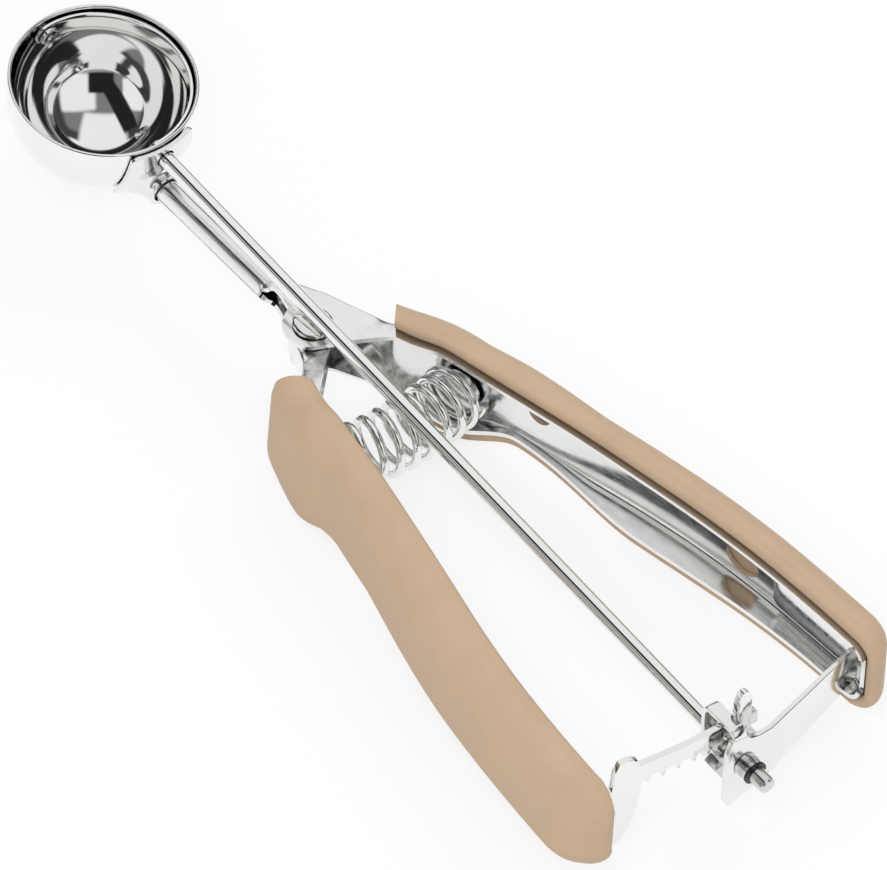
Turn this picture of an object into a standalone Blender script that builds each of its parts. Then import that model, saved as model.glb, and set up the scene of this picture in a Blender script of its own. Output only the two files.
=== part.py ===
"""Ice cream scoop with a squeeze lever, as separate pieces at their real size, in metres.

The origin is the centre of the flat tail of the main pivot rivet. +X runs from the pivot to the
ends of the grips, +Z from the rivet's tail to its domed head, and the bowl lies at -X with its
mouth up. The two handles lie in the handle plane, which is parallel to XY. The fixed handle is on
the +Y side and the lever on the -Y side. The rod runs above the pivot, tilted a little, from the
bowl down to the rack between the ends of the handles.
"""

from math import cos, dist, pi, radians, sin, sqrt, tan

import bmesh
import bpy
from mathutils import Matrix, Vector

# Fits
FIT = 0.0003  # clearance between pieces that touch or turn on each other

# Length of the handles
RACK_RADIUS = 0.12485  # from the pivot to the middle of the rack's sheet

# Bowl and scraper
BOWL_RADIUS = 0.0180
BOWL_WALL = 0.0007
BOWL_COLLAR = 0.0035  # straight wall above the half sphere
BOWL_STEPS = 48
SCRAPER_THICKNESS = 0.0005
SCRAPER_WIDTH = 0.0048
SCRAPER_TAB = 0.0024  # how far its end tabs reach past the rod's axis
RIVET_RADIUS = 0.0009
RIVET_HEAD_RADIUS = 0.0019
RIVET_HEAD_HEIGHT = 0.0007

# Saddle that joins the bowl to the neck
SADDLE_THICKNESS = 0.0008
SADDLE_HALF_ANGLE_TOP = radians(22)
SADDLE_HALF_ANGLE_BOTTOM = radians(28)
SADDLE_DROP = 0.0100  # its lower edge below the rod's axis
SADDLE_RIM_GAP = 0.0006
SOCKET_LENGTH = 0.0018
SOCKET_FLARE = 0.0028

# Rod
ROD_RADIUS = 0.0016
ROD_TILT = radians(3.45)
PIVOT_TO_BOWL = 0.0630
PIVOT_TO_CROSSING = RACK_RADIUS + 0.00495  # where the rod's axis meets the handle plane

# Neck and channel of the fixed handle
STEEL = 0.0009
NECK_RADIUS = 0.0025
NECK_HEIGHT = 0.0022  # the neck's axis above the handle plane
NECK_FLARES_AT = -0.0210
NECK_MOUTH_AT = -0.0128  # where the tube is cut open towards -Y
SEAM_HALF_ANGLE = radians(6)
EAR_RADIUS = 0.0059
LOWER_EAR_RADIUS = 0.0043
EAR_HALF_HEIGHT = 0.0044

# Main pivot
PIVOT_RADIUS = 0.0015
PIVOT_HEAD_RADIUS = 0.0039
PIVOT_HEAD_HEIGHT = 0.0011
PIVOT_TAIL_RADIUS = 0.0030
PIVOT_TAIL_HEIGHT = 0.0010
SLEEVE_RADIUS = 0.0031

# Grips, in a handle's own axes: u from the pivot along the handle, v outward from it
FRAME_SPREAD = radians(9.05)
LEVER_SPREAD = radians(9.65)
GRIP_WALL = 0.0026
GRIP_LIP = 0.0005  # how far the steel stands out of the grip's edge
# Shape of each grip: u, v of its back and v of its mouth
FRAME_LINE = (
    (0.0085, 0.0125, 0.0072),
    (0.0170, 0.0157, 0.0086),
    (0.0270, 0.0172, 0.0094),
    (0.0400, 0.0178, 0.0104),
    (0.0550, 0.0190, 0.0116),
    (0.0700, 0.0204, 0.0123),
    (0.0840, 0.0211, 0.0127),
    (0.0980, 0.0208, 0.0125),
    (0.1120, 0.0197, 0.0115),
    (0.1260, 0.0183, 0.0100),
)
LEVER_LINE = (
    (0.0085, 0.0142, 0.0082),
    (0.0170, 0.0160, 0.0091),
    (0.0270, 0.0173, 0.0093),
    (0.0400, 0.0170, 0.0092),
    (0.0550, 0.0185, 0.0096),
    (0.0700, 0.0201, 0.0102),
    (0.0840, 0.0210, 0.0109),
    (0.0980, 0.0208, 0.0110),
    (0.1120, 0.0200, 0.0103),
    (0.1260, 0.0188, 0.0091),
)
GRIP_END = RACK_RADIUS + 0.00695
END_HEIGHT_RADIUS = 0.0065  # of the end's corners, seen from the side
NOSE_DROP = 0.15
GRIP_TOP = 0.0117
GRIP_BOTTOM = -0.0096
GRIP_START_DROP = 0.0018  # how much lower the top is where the grip starts
GRIP_START_RISE = 0.0170
GRIP_START_SLANT = 0.80  # of the start's edge, which leans back from the grip's back to its mouth
GRIP_START_REACH = 0.0180
HOLLOW_PAST_MOUTH = 0.0015
GRIP_CORNER = 0.0065
LOW_CORNER = 0.0055
POCKET_CORNER = 0.0042  # of the lower corner, over the pocket
SHARPEST_CORNER = 0.0003
GRIP_CROWN = 0.0007
POCKET_STATIONS = 18
GRIP_STATIONS = 10
CORNER_STATIONS = 6
FRAME_GRIP_START = 0.0092
LEVER_GRIP_START = 0.0108
NOSE_EDGE = 0.0008  # of the grip's wall at the tip of its nose
LEVER_NOSE = 0.0016  # rounding of the lever's grip where it starts

# Pocket for the spring, in the lower half of both handles
POCKET_END = 0.0265
POCKET_STEP = 0.0140
POCKET_DROP = 0.0044
POCKET_LEAD = 0.0030  # how far before the grip it would start
POCKET_START = 0.0060
LEVER_POCKET_BULGE = 0.0010
NARROW_FLANGE = 0.62  # share of the flange's width that is left just past the pocket
NARROW_RECOVERS = 0.0720
WIDE_FLANGE = 1.22  # share of its width near the middle of the grip
WIDE_ENDS = 0.1200
# Holes in the channel's back: u, half length, half height, height above the handle plane
OVAL_HOLE = (0.0925, 0.0042, 0.0030, -0.0015)
ROUND_HOLE = (0.0440, 0.0026, 0.0026, 0.0030)

# Spring
SPRING_X = 0.0240
SPRING_DROP = 0.0026  # its axis below the handle plane
SPRING_RADIUS = 0.0060  # to the middle of the wire
WIRE_RADIUS = 0.00085
SPRING_TURNS = 8
SPRING_DEAD_TURNS = 1
SPRING_POINTS = 9  # points on each curl
DEAD_PITCH = 0.0025  # of the closed turns
SEAT_RADIUS = 0.0044
SEAT_HEIGHT = 0.0022
SEAT_GAP = 0.0004

# Rack, pinion and end bracket
PINION_TEETH = 9
PINION_PITCH_RADIUS = 0.0048
TOOTH_ADDENDUM = 0.00070
TOOTH_CLEARANCE = 0.00020
TOOTH_SLIM = 0.00026  # taken off each flank for backlash
TOOTH_FLANK = 0.00042  # half the slope of a flank across one tooth height
PINION_WIDTH = 0.0034
HUB_RADIUS = 0.0024
HUB_TIP_RADIUS = 0.00175
HUB_TIP = 0.0032
RING_WIDTH = 0.0005
RING_RADIUS = 0.0025
RING_GROOVE = 0.0004
WASHER_RADIUS = 0.00235
HUB_BEFORE_RING = 0.0015
WASHER_GAP = 0.0002
RACK_SHEET = 0.0013
RACK_BODY = 0.0040  # above the roots of its teeth
RACK_FIRST_TOOTH = -6
RACK_LAST_TOOTH = 1
HUMP_HEIGHT = 0.0026
EAR_TAB_HEIGHT = 0.0066
EAR_TAB_WIDTH = 0.0036
END_PLATE_WIDTH = 0.0062
END_PLATE_DROP = 0.0104
FOOT_LOW = -0.0040
FOOT_HIGH = 0.0051
FOOT_LENGTH = 0.0230
FOOT_BEND = 0.0020
BRACKET_SHEET = 0.0012
FOLD_SHEET = 0.0010
FRONT_WALL_X = RACK_RADIUS + 0.0040
REAR_WALL_X = RACK_RADIUS - 0.0050
STRAP_END_U = RACK_RADIUS - 0.00005  # where the strap bends into its foot
FOLD_LEFT = -0.0038
FOLD_RIGHT = -0.0009

ROUND_STEPS = 28
HANDLE_PLANE = EAR_HALF_HEIGHT + FIT + PIVOT_TAIL_HEIGHT  # above the rivet's tail face


def clear_scene():
    for thing in list(bpy.data.objects):
        bpy.data.objects.remove(thing, do_unlink=True)


def new_collection(name):
    group = bpy.data.collections.new(name)
    bpy.context.scene.collection.children.link(group)
    return group


def new_material(name, colour, roughness, metallic):
    made = bpy.data.materials.new(name)
    made.use_nodes = True
    shader = made.node_tree.nodes["Principled BSDF"]
    shader.inputs["Base Color"].default_value = (*colour, 1.0)
    shader.inputs["Roughness"].default_value = roughness
    shader.inputs["Metallic"].default_value = metallic
    return made


def new_empty(name, parent=None, location=(0, 0, 0), rotation=(0, 0, 0)):
    holder = bpy.data.objects.new(name, None)
    holder.empty_display_size = 0.01
    holder.location = location
    holder.rotation_euler = rotation
    holder.parent = parent
    scoop_parts.objects.link(holder)
    return holder


def new_part(name, mesh, parent, finish):
    piece = bpy.data.objects.new(name, mesh)
    piece.parent = parent
    mesh.materials.clear()
    mesh.materials.append(finish)
    mesh.shade_smooth()
    mesh.set_sharp_from_angle(angle=radians(35))
    scoop_parts.objects.link(piece)
    return piece


def new_cutter(name, mesh, parent):
    tool = bpy.data.objects.new(name, mesh)
    tool.parent = parent
    tool.hide_render = True
    tool.display_type = "WIRE"
    scoop_cutters.objects.link(tool)
    return tool


def boolean(piece, tool, operation):
    step = piece.modifiers.new(f"{operation.lower()} {tool.name}", "BOOLEAN")
    step.operation = operation
    step.object = tool


def solidify(piece, thickness, offset):
    step = piece.modifiers.new("sheet", "SOLIDIFY")
    step.thickness = thickness
    step.offset = offset
    step.use_even_offset = True


def mesh_of(name, build):
    """A mesh made by the given function, which fills a bmesh."""
    work = bmesh.new()
    build(work)
    mesh = bpy.data.meshes.new(name)
    work.to_mesh(mesh)
    work.free()
    return mesh


def cylinder_mesh(name, radius, start, end, along="Z"):
    """A cylinder about Z or X, from start to end."""

    def build(work):
        bmesh.ops.create_cone(work, cap_ends=True, segments=ROUND_STEPS, radius1=radius,
                              radius2=radius, depth=end - start)
        for corner in work.verts:
            side, up, reach = corner.co
            reach += (start + end) / 2
            if along == "Z":
                corner.co = (side, up, reach)
            else:
                corner.co = (reach, side, up)

    return mesh_of(name, build)


def sheet_mesh(name, rows, outward):
    """An open surface through rows of points. The outward flag turns its faces round."""

    def build(work):
        grid = [[work.verts.new(point) for point in row] for row in rows]
        for first, second in zip(grid, grid[1:]):
            for low, high, next_low, next_high in zip(first, first[1:], second, second[1:]):
                loop = (low, high, next_high, next_low)
                work.faces.new(loop if outward else loop[::-1])

    return mesh_of(name, build)


def loft_mesh(name, rows):
    """A closed body through rings of points."""

    def build(work):
        rings = [[work.verts.new(point) for point in row] for row in rows]
        count = len(rings[0])
        for first, second in zip(rings, rings[1:]):
            for index in range(count):
                after = (index + 1) % count
                work.faces.new((first[index], first[after], second[after], second[index]))
        work.faces.new(rings[0][::-1])
        work.faces.new(rings[-1])
        work.normal_update()
        bmesh.ops.recalc_face_normals(work, faces=work.faces)

    return mesh_of(name, build)


def turned_mesh(name, profile, hollow=False):
    """A profile of (radius, height) points, down its outer side, for a Screw modifier.

    A hollow profile never meets the axis and closes on itself.
    """

    def build(work):
        corners = [work.verts.new((radius, 0, height)) for radius, height in profile]
        for first, second in zip(corners, corners[1:]):
            work.edges.new((first, second))
        if hollow:
            work.edges.new((corners[-1], corners[0]))

    return mesh_of(name, build)


def turn(piece, steps=ROUND_STEPS):
    step = piece.modifiers.new("turned", "SCREW")
    step.steps = steps
    step.render_steps = steps
    step.use_merge_vertices = True
    step.merge_threshold = 0.00001
    step.use_smooth_shade = True


def smooth_step(value):
    value = min(1.0, max(0.0, value))
    return value * value * (3 - 2 * value)


def rod_height(x):
    """Height of the rod's axis above the handle plane."""
    return (PIVOT_TO_CROSSING - x) * tan(ROD_TILT)


# Outline shared by both handles

def grip_line(line, u, which):
    """A smooth curve through the backs (1) or the mouths (2) of a grip's line."""
    u = min(max(u, line[0][0]), line[-1][0])
    index = max(i for i in range(len(line) - 1) if line[i][0] <= u)
    low, high = line[index], line[index + 1]
    before, after = line[max(index - 1, 0)], line[min(index + 2, len(line) - 1)]
    step = high[0] - low[0]
    slope_low = (high[which] - before[which]) / (high[0] - before[0]) * step
    slope_high = (after[which] - low[which]) / (after[0] - low[0]) * step
    t = (u - low[0]) / step
    return (low[which] * (2 * t ** 3 - 3 * t ** 2 + 1) + slope_low * (t ** 3 - 2 * t ** 2 + t)
            + high[which] * (3 * t ** 2 - 2 * t ** 3) + slope_high * (t ** 3 - t ** 2))


def in_pocket(u):
    return 1 - smooth_step((u - POCKET_END) / POCKET_STEP)


def lower_flange_share(u):
    """The lower flange is full in the pocket, narrow just past it, and wide near the middle."""
    past = POCKET_END + POCKET_STEP
    if u < past:
        return 1 - (1 - NARROW_FLANGE) * smooth_step((u - POCKET_END) / POCKET_STEP)
    if u < NARROW_RECOVERS:
        grown = smooth_step((u - past) / (NARROW_RECOVERS - past))
        return NARROW_FLANGE + (WIDE_FLANGE - NARROW_FLANGE) * grown
    shrunk = smooth_step((u - NARROW_RECOVERS) / (WIDE_ENDS - NARROW_RECOVERS))
    return WIDE_FLANGE + (1 - WIDE_FLANGE) * shrunk


def rounded(distance, radius):
    """How far a corner of this radius has dropped, this far past where it starts."""
    if distance <= 0:
        return 0.0
    return radius - sqrt(max(0.0, radius ** 2 - min(distance, radius) ** 2))


def grip_stations(line, start, bulge, nose, inset=0.0, lip=0.0, final=radians(87)):
    """Cross sections of a grip, from its start to its closed end, this far inside its surface."""
    end_depth = grip_line(line, GRIP_END, 1) - grip_line(line, GRIP_END, 2)
    turn_in = GRIP_END - end_depth
    close = POCKET_END + POCKET_STEP
    straight = [start + (close - start) * index / POCKET_STATIONS for index in range(POCKET_STATIONS)]
    straight += [close + (turn_in - close) * index / GRIP_STATIONS for index in range(GRIP_STATIONS + 1)]
    if nose:
        straight[1:1] = [start + nose * share for share in (0.05, 0.20)]
    radius = end_depth - inset
    places = [(u, 0.0) for u in straight]
    for index in range(1, CORNER_STATIONS + 1):
        angle = final * index / CORNER_STATIONS
        places.append((turn_in + radius * sin(angle), radius * (1 - cos(angle))))
    found = []
    for u, turned_in in places:
        rise = smooth_step((u - start) / GRIP_START_RISE)
        deepened = smooth_step((u - start + POCKET_LEAD) / POCKET_START)
        nose_radius = max(nose - inset, SHARPEST_CORNER)
        nose_drop = min(rounded(start + nose - u, nose_radius), nose - NOSE_EDGE) if nose else 0.0
        widening = bulge * in_pocket(u) * smooth_step((u - start + 0.004) / 0.008)
        back = grip_line(line, u, 1) + widening - nose_drop
        mouth = grip_line(line, u, 2)
        low_mouth = back - (back - mouth) * lower_flange_share(u)
        outer_turn = turned_in * end_depth / radius
        drop = nose_drop * NOSE_DROP
        drop += rounded(u - (GRIP_END - END_HEIGHT_RADIUS), END_HEIGHT_RADIUS - inset)
        found.append({
            "u": u,
            "back": back - inset - turned_in,
            "mouth": mouth - lip,
            "low_mouth": low_mouth - lip,
            "top": GRIP_TOP - inset - drop - GRIP_START_DROP * (1 - rise),
            "bottom": GRIP_BOTTOM + inset + drop - POCKET_DROP * in_pocket(u) * deepened,
            "slant": GRIP_START_SLANT * (1 - smooth_step((u - start) / GRIP_START_REACH)),
            "inset": inset,
            "room": 0.8 * (back - max(mouth, low_mouth) - outer_turn),
        })
    return found


def section(station, spread, side):
    """Points of one cross section, from the upper edge round the back to the lower edge."""
    back, upper, lower = station["back"], station["top"], station["bottom"]
    top_edge = back - station["mouth"]
    low_edge = back - station["low_mouth"]
    radius = max(min(GRIP_CORNER, station["room"]) - station["inset"], SHARPEST_CORNER)
    low_corner = LOW_CORNER + (POCKET_CORNER - LOW_CORNER) * in_pocket(station["u"])
    low_radius = max(min(low_corner, station["room"]) - station["inset"], SHARPEST_CORNER)

    def point(depth, height):
        u = station["u"] + station["slant"] * (depth + station["inset"])
        v = back - depth
        return (u * cos(spread) - v * sin(spread), side * (u * sin(spread) + v * cos(spread)), height)

    def crown(depth):
        return GRIP_CROWN * (depth / 0.010) ** 2

    points = [point(top_edge, upper - crown(top_edge))]
    middle = (top_edge + radius) / 2
    points.append(point(middle, upper - crown(middle)))
    for degrees in (90, 60, 30, 0):
        angle = radians(degrees)
        points.append(point(radius - radius * cos(angle), upper - radius + radius * sin(angle)))
    points.append(point(0, (upper + lower) / 2))
    for degrees in (0, 30, 60, 90):
        angle = radians(degrees)
        points.append(point(low_radius * (1 - cos(angle)), lower + low_radius * (1 - sin(angle))))
    middle = (low_edge + low_radius) / 2
    points.append(point(middle, lower + crown(middle)))
    points.append(point(low_edge, lower + crown(low_edge)))
    return points


def free_section(back, edge, half_height, shorter=0.0, corner=0.0013):
    """A section of the bare channel; its lower flange may be shorter than its upper one."""
    reach = dist(back, edge)
    in_x = (edge[0] - back[0]) / reach
    in_y = (edge[1] - back[1]) / reach

    def flange(depth, sign):
        half = [(depth, half_height), ((depth + corner) / 2, half_height)]
        for degrees in (90, 60, 30, 0):
            angle = radians(degrees)
            half.append((corner - corner * cos(angle), half_height - corner + corner * sin(angle)))
        return [(back[0] + in_x * d, back[1] + in_y * d, sign * h) for d, h in half]

    return flange(reach, 1) + [(back[0], back[1], 0)] + flange(reach - shorter, -1)[::-1]


def neck_section(x, count, seam=SEAM_HALF_ANGLE):
    """The rolled tube of the neck, with its open seam towards -Y."""
    points = []
    for index in range(count):
        angle = pi - seam - (2 * pi - 2 * seam) * index / (count - 1)
        points.append((x, NECK_RADIUS * cos(angle), NECK_HEIGHT + NECK_RADIUS * sin(angle)))
    return points


def ear_edge(x, radius):
    return -sqrt(max(0.0, radius ** 2 - x ** 2))


def hole_place(hole, spread, side):
    """Where the hole's middle lies on the back of the fixed handle's grip."""
    u = hole[0]
    v = grip_line(FRAME_LINE, u, 1)
    return u * cos(spread) - v * sin(spread), side * (u * sin(spread) + v * cos(spread))


def oval_mesh(name, hole, spread, side, depth_from, depth_to):
    """An oval plug square to the handle, between two depths inside the grip's back."""
    x, y = hole_place(hole, spread, side)

    def build(work):
        bmesh.ops.create_cone(work, cap_ends=True, segments=ROUND_STEPS, radius1=1, radius2=1, depth=1)
        for corner in work.verts:
            along = corner.co.x * hole[1]
            up = corner.co.y * hole[2]
            depth = depth_from + (depth_to - depth_from) * (corner.co.z + 0.5)
            corner.co = (x + along * cos(spread) + depth * sin(spread),
                         y + side * (along * sin(spread) - depth * cos(spread)), hole[3] + up)
        work.normal_update()
        bmesh.ops.recalc_face_normals(work, faces=work.faces)

    return mesh_of(name, build)


# Pieces of the fixed handle

def make_handle_frame():
    inset = GRIP_WALL + FIT
    stations = grip_stations(FRAME_LINE, FRAME_GRIP_START, 0.0, 0.0, inset, GRIP_LIP, radians(84))
    gripped = [section(one, FRAME_SPREAD, 1) for one in stations]
    # Back line and mouth edge of the bare channel, from the ears to the grip
    back_line = ((-0.0058, 0.0071), (-0.0045, 0.0076), (-0.0025, 0.0084), (0.0, 0.0093),
                 (0.0025, 0.0103), (0.0045, 0.0111), (0.0062, 0.0118))
    bare = []
    for x, back in back_line[:-1]:
        upper = ear_edge(x, EAR_RADIUS)
        shorter = ear_edge(x, LOWER_EAR_RADIUS) - upper
        bare.append(free_section((x, back), (x, upper), EAR_HALF_HEIGHT, shorter))
    x, back = back_line[-1]
    bare.append(free_section((x, back), (x, 0.0016), EAR_HALF_HEIGHT))
    count = len(bare[0])
    under_rod = rod_height(-PIVOT_TO_BOWL) - NECK_HEIGHT - NECK_RADIUS
    neck_end = PIVOT_TO_BOWL - sqrt((BOWL_RADIUS + 2 * FIT) ** 2 - under_rod ** 2) - 2 * FIT
    halfway = (NECK_FLARES_AT - neck_end) / 2
    neck = [neck_section(x, count) for x in (-neck_end, halfway, NECK_FLARES_AT, NECK_MOUTH_AT)]
    # The throat, where the back spreads first and the seam opens after it
    throat = []
    for ahead, back_share, mouth_share, seam in ((0.0006, 0.30, 0.02, 60), (0.0014, 0.42, 0.06, 88),
                                                 (0.0032, 0.62, 0.26, 92), (0.0054, 0.84, 0.62, 84),
                                                 (0.0070, 0.94, 0.86, 60)):
        x = NECK_MOUTH_AT + ahead
        round_part = neck_section(x, count, radians(seam))
        open_part = [(x, y, z) for _, y, z in bare[0]]
        row = []
        for index, (a, b) in enumerate(zip(round_part, open_part)):
            share = mouth_share + (back_share - mouth_share) * sin(pi * index / (count - 1))
            row.append(tuple(p + (q - p) * share for p, q in zip(a, b)))
        throat.append(row)
    rows = neck + throat + bare + gripped
    piece = new_part("handle_frame", sheet_mesh("handle_frame", rows, False), fixed_side, steel)
    solidify(piece, STEEL, -1.0)
    pin_hole = cylinder_mesh("pin_hole_frame", PIVOT_RADIUS + FIT, -0.02, 0.02)
    boolean(piece, new_cutter("pin_hole_frame", pin_hole, fixed_side), "DIFFERENCE")
    for name, hole in (("oval_hole", OVAL_HOLE), ("round_hole", ROUND_HOLE)):
        cut = oval_mesh(name, hole, FRAME_SPREAD, 1, GRIP_WALL, GRIP_WALL + 0.004)
        boolean(piece, new_cutter(name, cut, fixed_side), "DIFFERENCE")


def make_grip(name, line, start, bulge, nose, spread, side, parent):
    """A closed body, hollowed so that its wall is the same all over and its mouth is open."""
    outside = [section(one, spread, side) for one in grip_stations(line, start, bulge, nose)]
    piece = new_part(name, loft_mesh(name, outside), parent, tan_plastic)
    inside = grip_stations(line, start, bulge, nose, GRIP_WALL, HOLLOW_PAST_MOUTH, radians(90))
    inside.insert(0, dict(inside[0], u=start - 0.006))
    hollow = loft_mesh(f"{name}_hollow", [section(one, spread, side) for one in inside])
    boolean(piece, new_cutter(f"{name}_hollow", hollow, parent), "DIFFERENCE")


def make_pivot():
    ear = EAR_HALF_HEIGHT
    head = ear + FIT
    dome = [(0, head + PIVOT_HEAD_HEIGHT)]
    for degrees in (30, 55, 75):
        angle = radians(degrees)
        dome.append((PIVOT_HEAD_RADIUS * sin(angle), head + PIVOT_HEAD_HEIGHT * cos(angle)))
    profile = dome + [
        (PIVOT_HEAD_RADIUS, head),
        (PIVOT_RADIUS, head),
        (PIVOT_RADIUS, -head),
        (PIVOT_TAIL_RADIUS, -head),
        (PIVOT_TAIL_RADIUS, -head - PIVOT_TAIL_HEIGHT),
        (0, -head - PIVOT_TAIL_HEIGHT),
    ]
    turn(new_part("pivot_rivet", turned_mesh("pivot_rivet", profile), fixed_side, bright_steel))
    half = lever_ear_height() - STEEL - FIT
    inner = PIVOT_RADIUS + FIT
    sleeve = [(inner, half), (SLEEVE_RADIUS, half), (SLEEVE_RADIUS, -half), (inner, -half)]
    turn(new_part("pivot_sleeve", turned_mesh("pivot_sleeve", sleeve, True), fixed_side, steel))


def lever_ear_height():
    """Half the height over the lever's ears, which fit between those of the frame."""
    return EAR_HALF_HEIGHT - STEEL - FIT


# Pieces of the lever, drawn on its own side and then mirrored to -Y

def make_lever_frame():
    inset = GRIP_WALL + FIT
    stations = grip_stations(LEVER_LINE, LEVER_GRIP_START, LEVER_POCKET_BULGE, LEVER_NOSE, inset,
                             GRIP_LIP, radians(84))
    gripped = [section(one, LEVER_SPREAD, -1) for one in stations]
    wrap = EAR_RADIUS - 0.0013
    ear = lever_ear_height()
    outline = []
    for degrees, edge in ((180, (-0.0034, -0.0026)), (150, (-0.0015, -0.0041)),
                          (120, (0.0005, -0.0044)), (90, (0.0022, -0.0038))):
        angle = radians(degrees)
        outline.append(((wrap * cos(angle), wrap * sin(angle)), edge))
    outline.append(((0.0036, 0.0058), (0.0037, -0.0022)))
    outline.append(((0.0062, 0.0078), (0.0058, 0.0012)))
    rows = []
    for back, edge in outline:
        rows.append([(x, -y, z) for x, y, z in free_section(back, edge, ear)])
    rows += gripped
    piece = new_part("lever_frame", sheet_mesh("lever_frame", rows, True), lever_side, steel)
    solidify(piece, STEEL, -1.0)
    pin_hole = cylinder_mesh("pin_hole_lever", PIVOT_RADIUS + FIT, -0.02, 0.02)
    boolean(piece, new_cutter("pin_hole_lever", pin_hole, lever_side), "DIFFERENCE")


# Bowl end, in the rod's own axes: X along the rod from the middle of the bowl

def make_bowl():
    inside = BOWL_RADIUS - BOWL_WALL
    quarter = 14
    angles = [radians(90) * index / quarter for index in range(quarter)]
    inner = [(inside * cos(a), -inside * sin(a)) for a in angles] + [(0, -inside)]
    outer = [(BOWL_RADIUS * cos(a), -BOWL_RADIUS * sin(a)) for a in angles] + [(0, -BOWL_RADIUS)]
    profile = inner[::-1] + [(inside, BOWL_COLLAR), (BOWL_RADIUS, BOWL_COLLAR)] + outer
    piece = new_part("bowl", turned_mesh("bowl", profile), rod_line, bright_steel)
    turn(piece, BOWL_STEPS)
    near, far = BOWL_RADIUS * 0.7, BOWL_RADIUS * 1.3
    front = cylinder_mesh("bowl_front_hole", RIVET_RADIUS + FIT, -far, -near, "X")
    rear = cylinder_mesh("bowl_rear_hole", ROD_RADIUS + FIT, near, far, "X")
    boolean(piece, new_cutter("bowl_front_hole", front, rod_line), "DIFFERENCE")
    boolean(piece, new_cutter("bowl_rear_hole", rear, rod_line), "DIFFERENCE")


def scraper_radius():
    """To the scraper's outer face, so that its corners clear the wall of the bowl."""
    inside = BOWL_RADIUS - BOWL_WALL
    return sqrt((inside - FIT) ** 2 - (SCRAPER_WIDTH / 2) ** 2)


def make_scraper():
    middle = scraper_radius() - SCRAPER_THICKNESS / 2
    half = SCRAPER_WIDTH / 2
    low, high = [], []

    def station(x, y, reach):
        low.append((x, y, -reach))
        high.append((x, y, reach))

    tab = [(SCRAPER_TAB * sin(radians(a)), half * cos(radians(a))) for a in (75, 50, 25)]
    for down, reach in tab:
        station(-middle, -down, reach)
    for index in range(25):
        angle = pi - pi * index / 24
        station(middle * cos(angle), middle * sin(angle), half)
    for down, reach in tab[::-1]:
        station(middle, -down, reach)
    piece = new_part("scraper", sheet_mesh("scraper", [low, high], True), rod_turns, bright_steel)
    solidify(piece, SCRAPER_THICKNESS, 0.0)
    far, near = BOWL_RADIUS * 1.1, BOWL_RADIUS * 0.75
    for name, start in (("scraper_front_hole", -far), ("scraper_rear_hole", near)):
        hole = cylinder_mesh(name, RIVET_RADIUS + FIT, start, start + far - near, "X")
        boolean(piece, new_cutter(name, hole, rod_turns), "DIFFERENCE")


def lie_along_rod(piece, position):
    """Turns a piece made along Z so that its top points along +X of the rod."""
    piece.rotation_euler = (0, radians(90), 0)
    piece.location = (position, 0, 0)


def make_front_rivet():
    outer_face = BOWL_RADIUS + FIT
    inner_face = scraper_radius() - SCRAPER_THICKNESS - FIT
    inner_end = inner_face - RIVET_HEAD_HEIGHT
    dimple = 0.0007
    profile = [
        (0, -inner_end - dimple * 0.6),
        (dimple, -inner_end - dimple * 0.6),
        (dimple, -inner_end),
        (RIVET_HEAD_RADIUS * 0.8, -inner_end),
        (RIVET_HEAD_RADIUS, -inner_end - RIVET_HEAD_HEIGHT * 0.4),
        (RIVET_HEAD_RADIUS, -inner_face),
        (RIVET_RADIUS, -inner_face),
        (RIVET_RADIUS, -outer_face),
        (RIVET_HEAD_RADIUS, -outer_face),
        (RIVET_HEAD_RADIUS * 0.8, -outer_face - RIVET_HEAD_HEIGHT * 0.7),
        (0, -outer_face - RIVET_HEAD_HEIGHT),
    ]
    piece = new_part("front_rivet", turned_mesh("front_rivet", profile), rod_line, bright_steel)
    turn(piece, 20)
    lie_along_rod(piece, 0)


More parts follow.
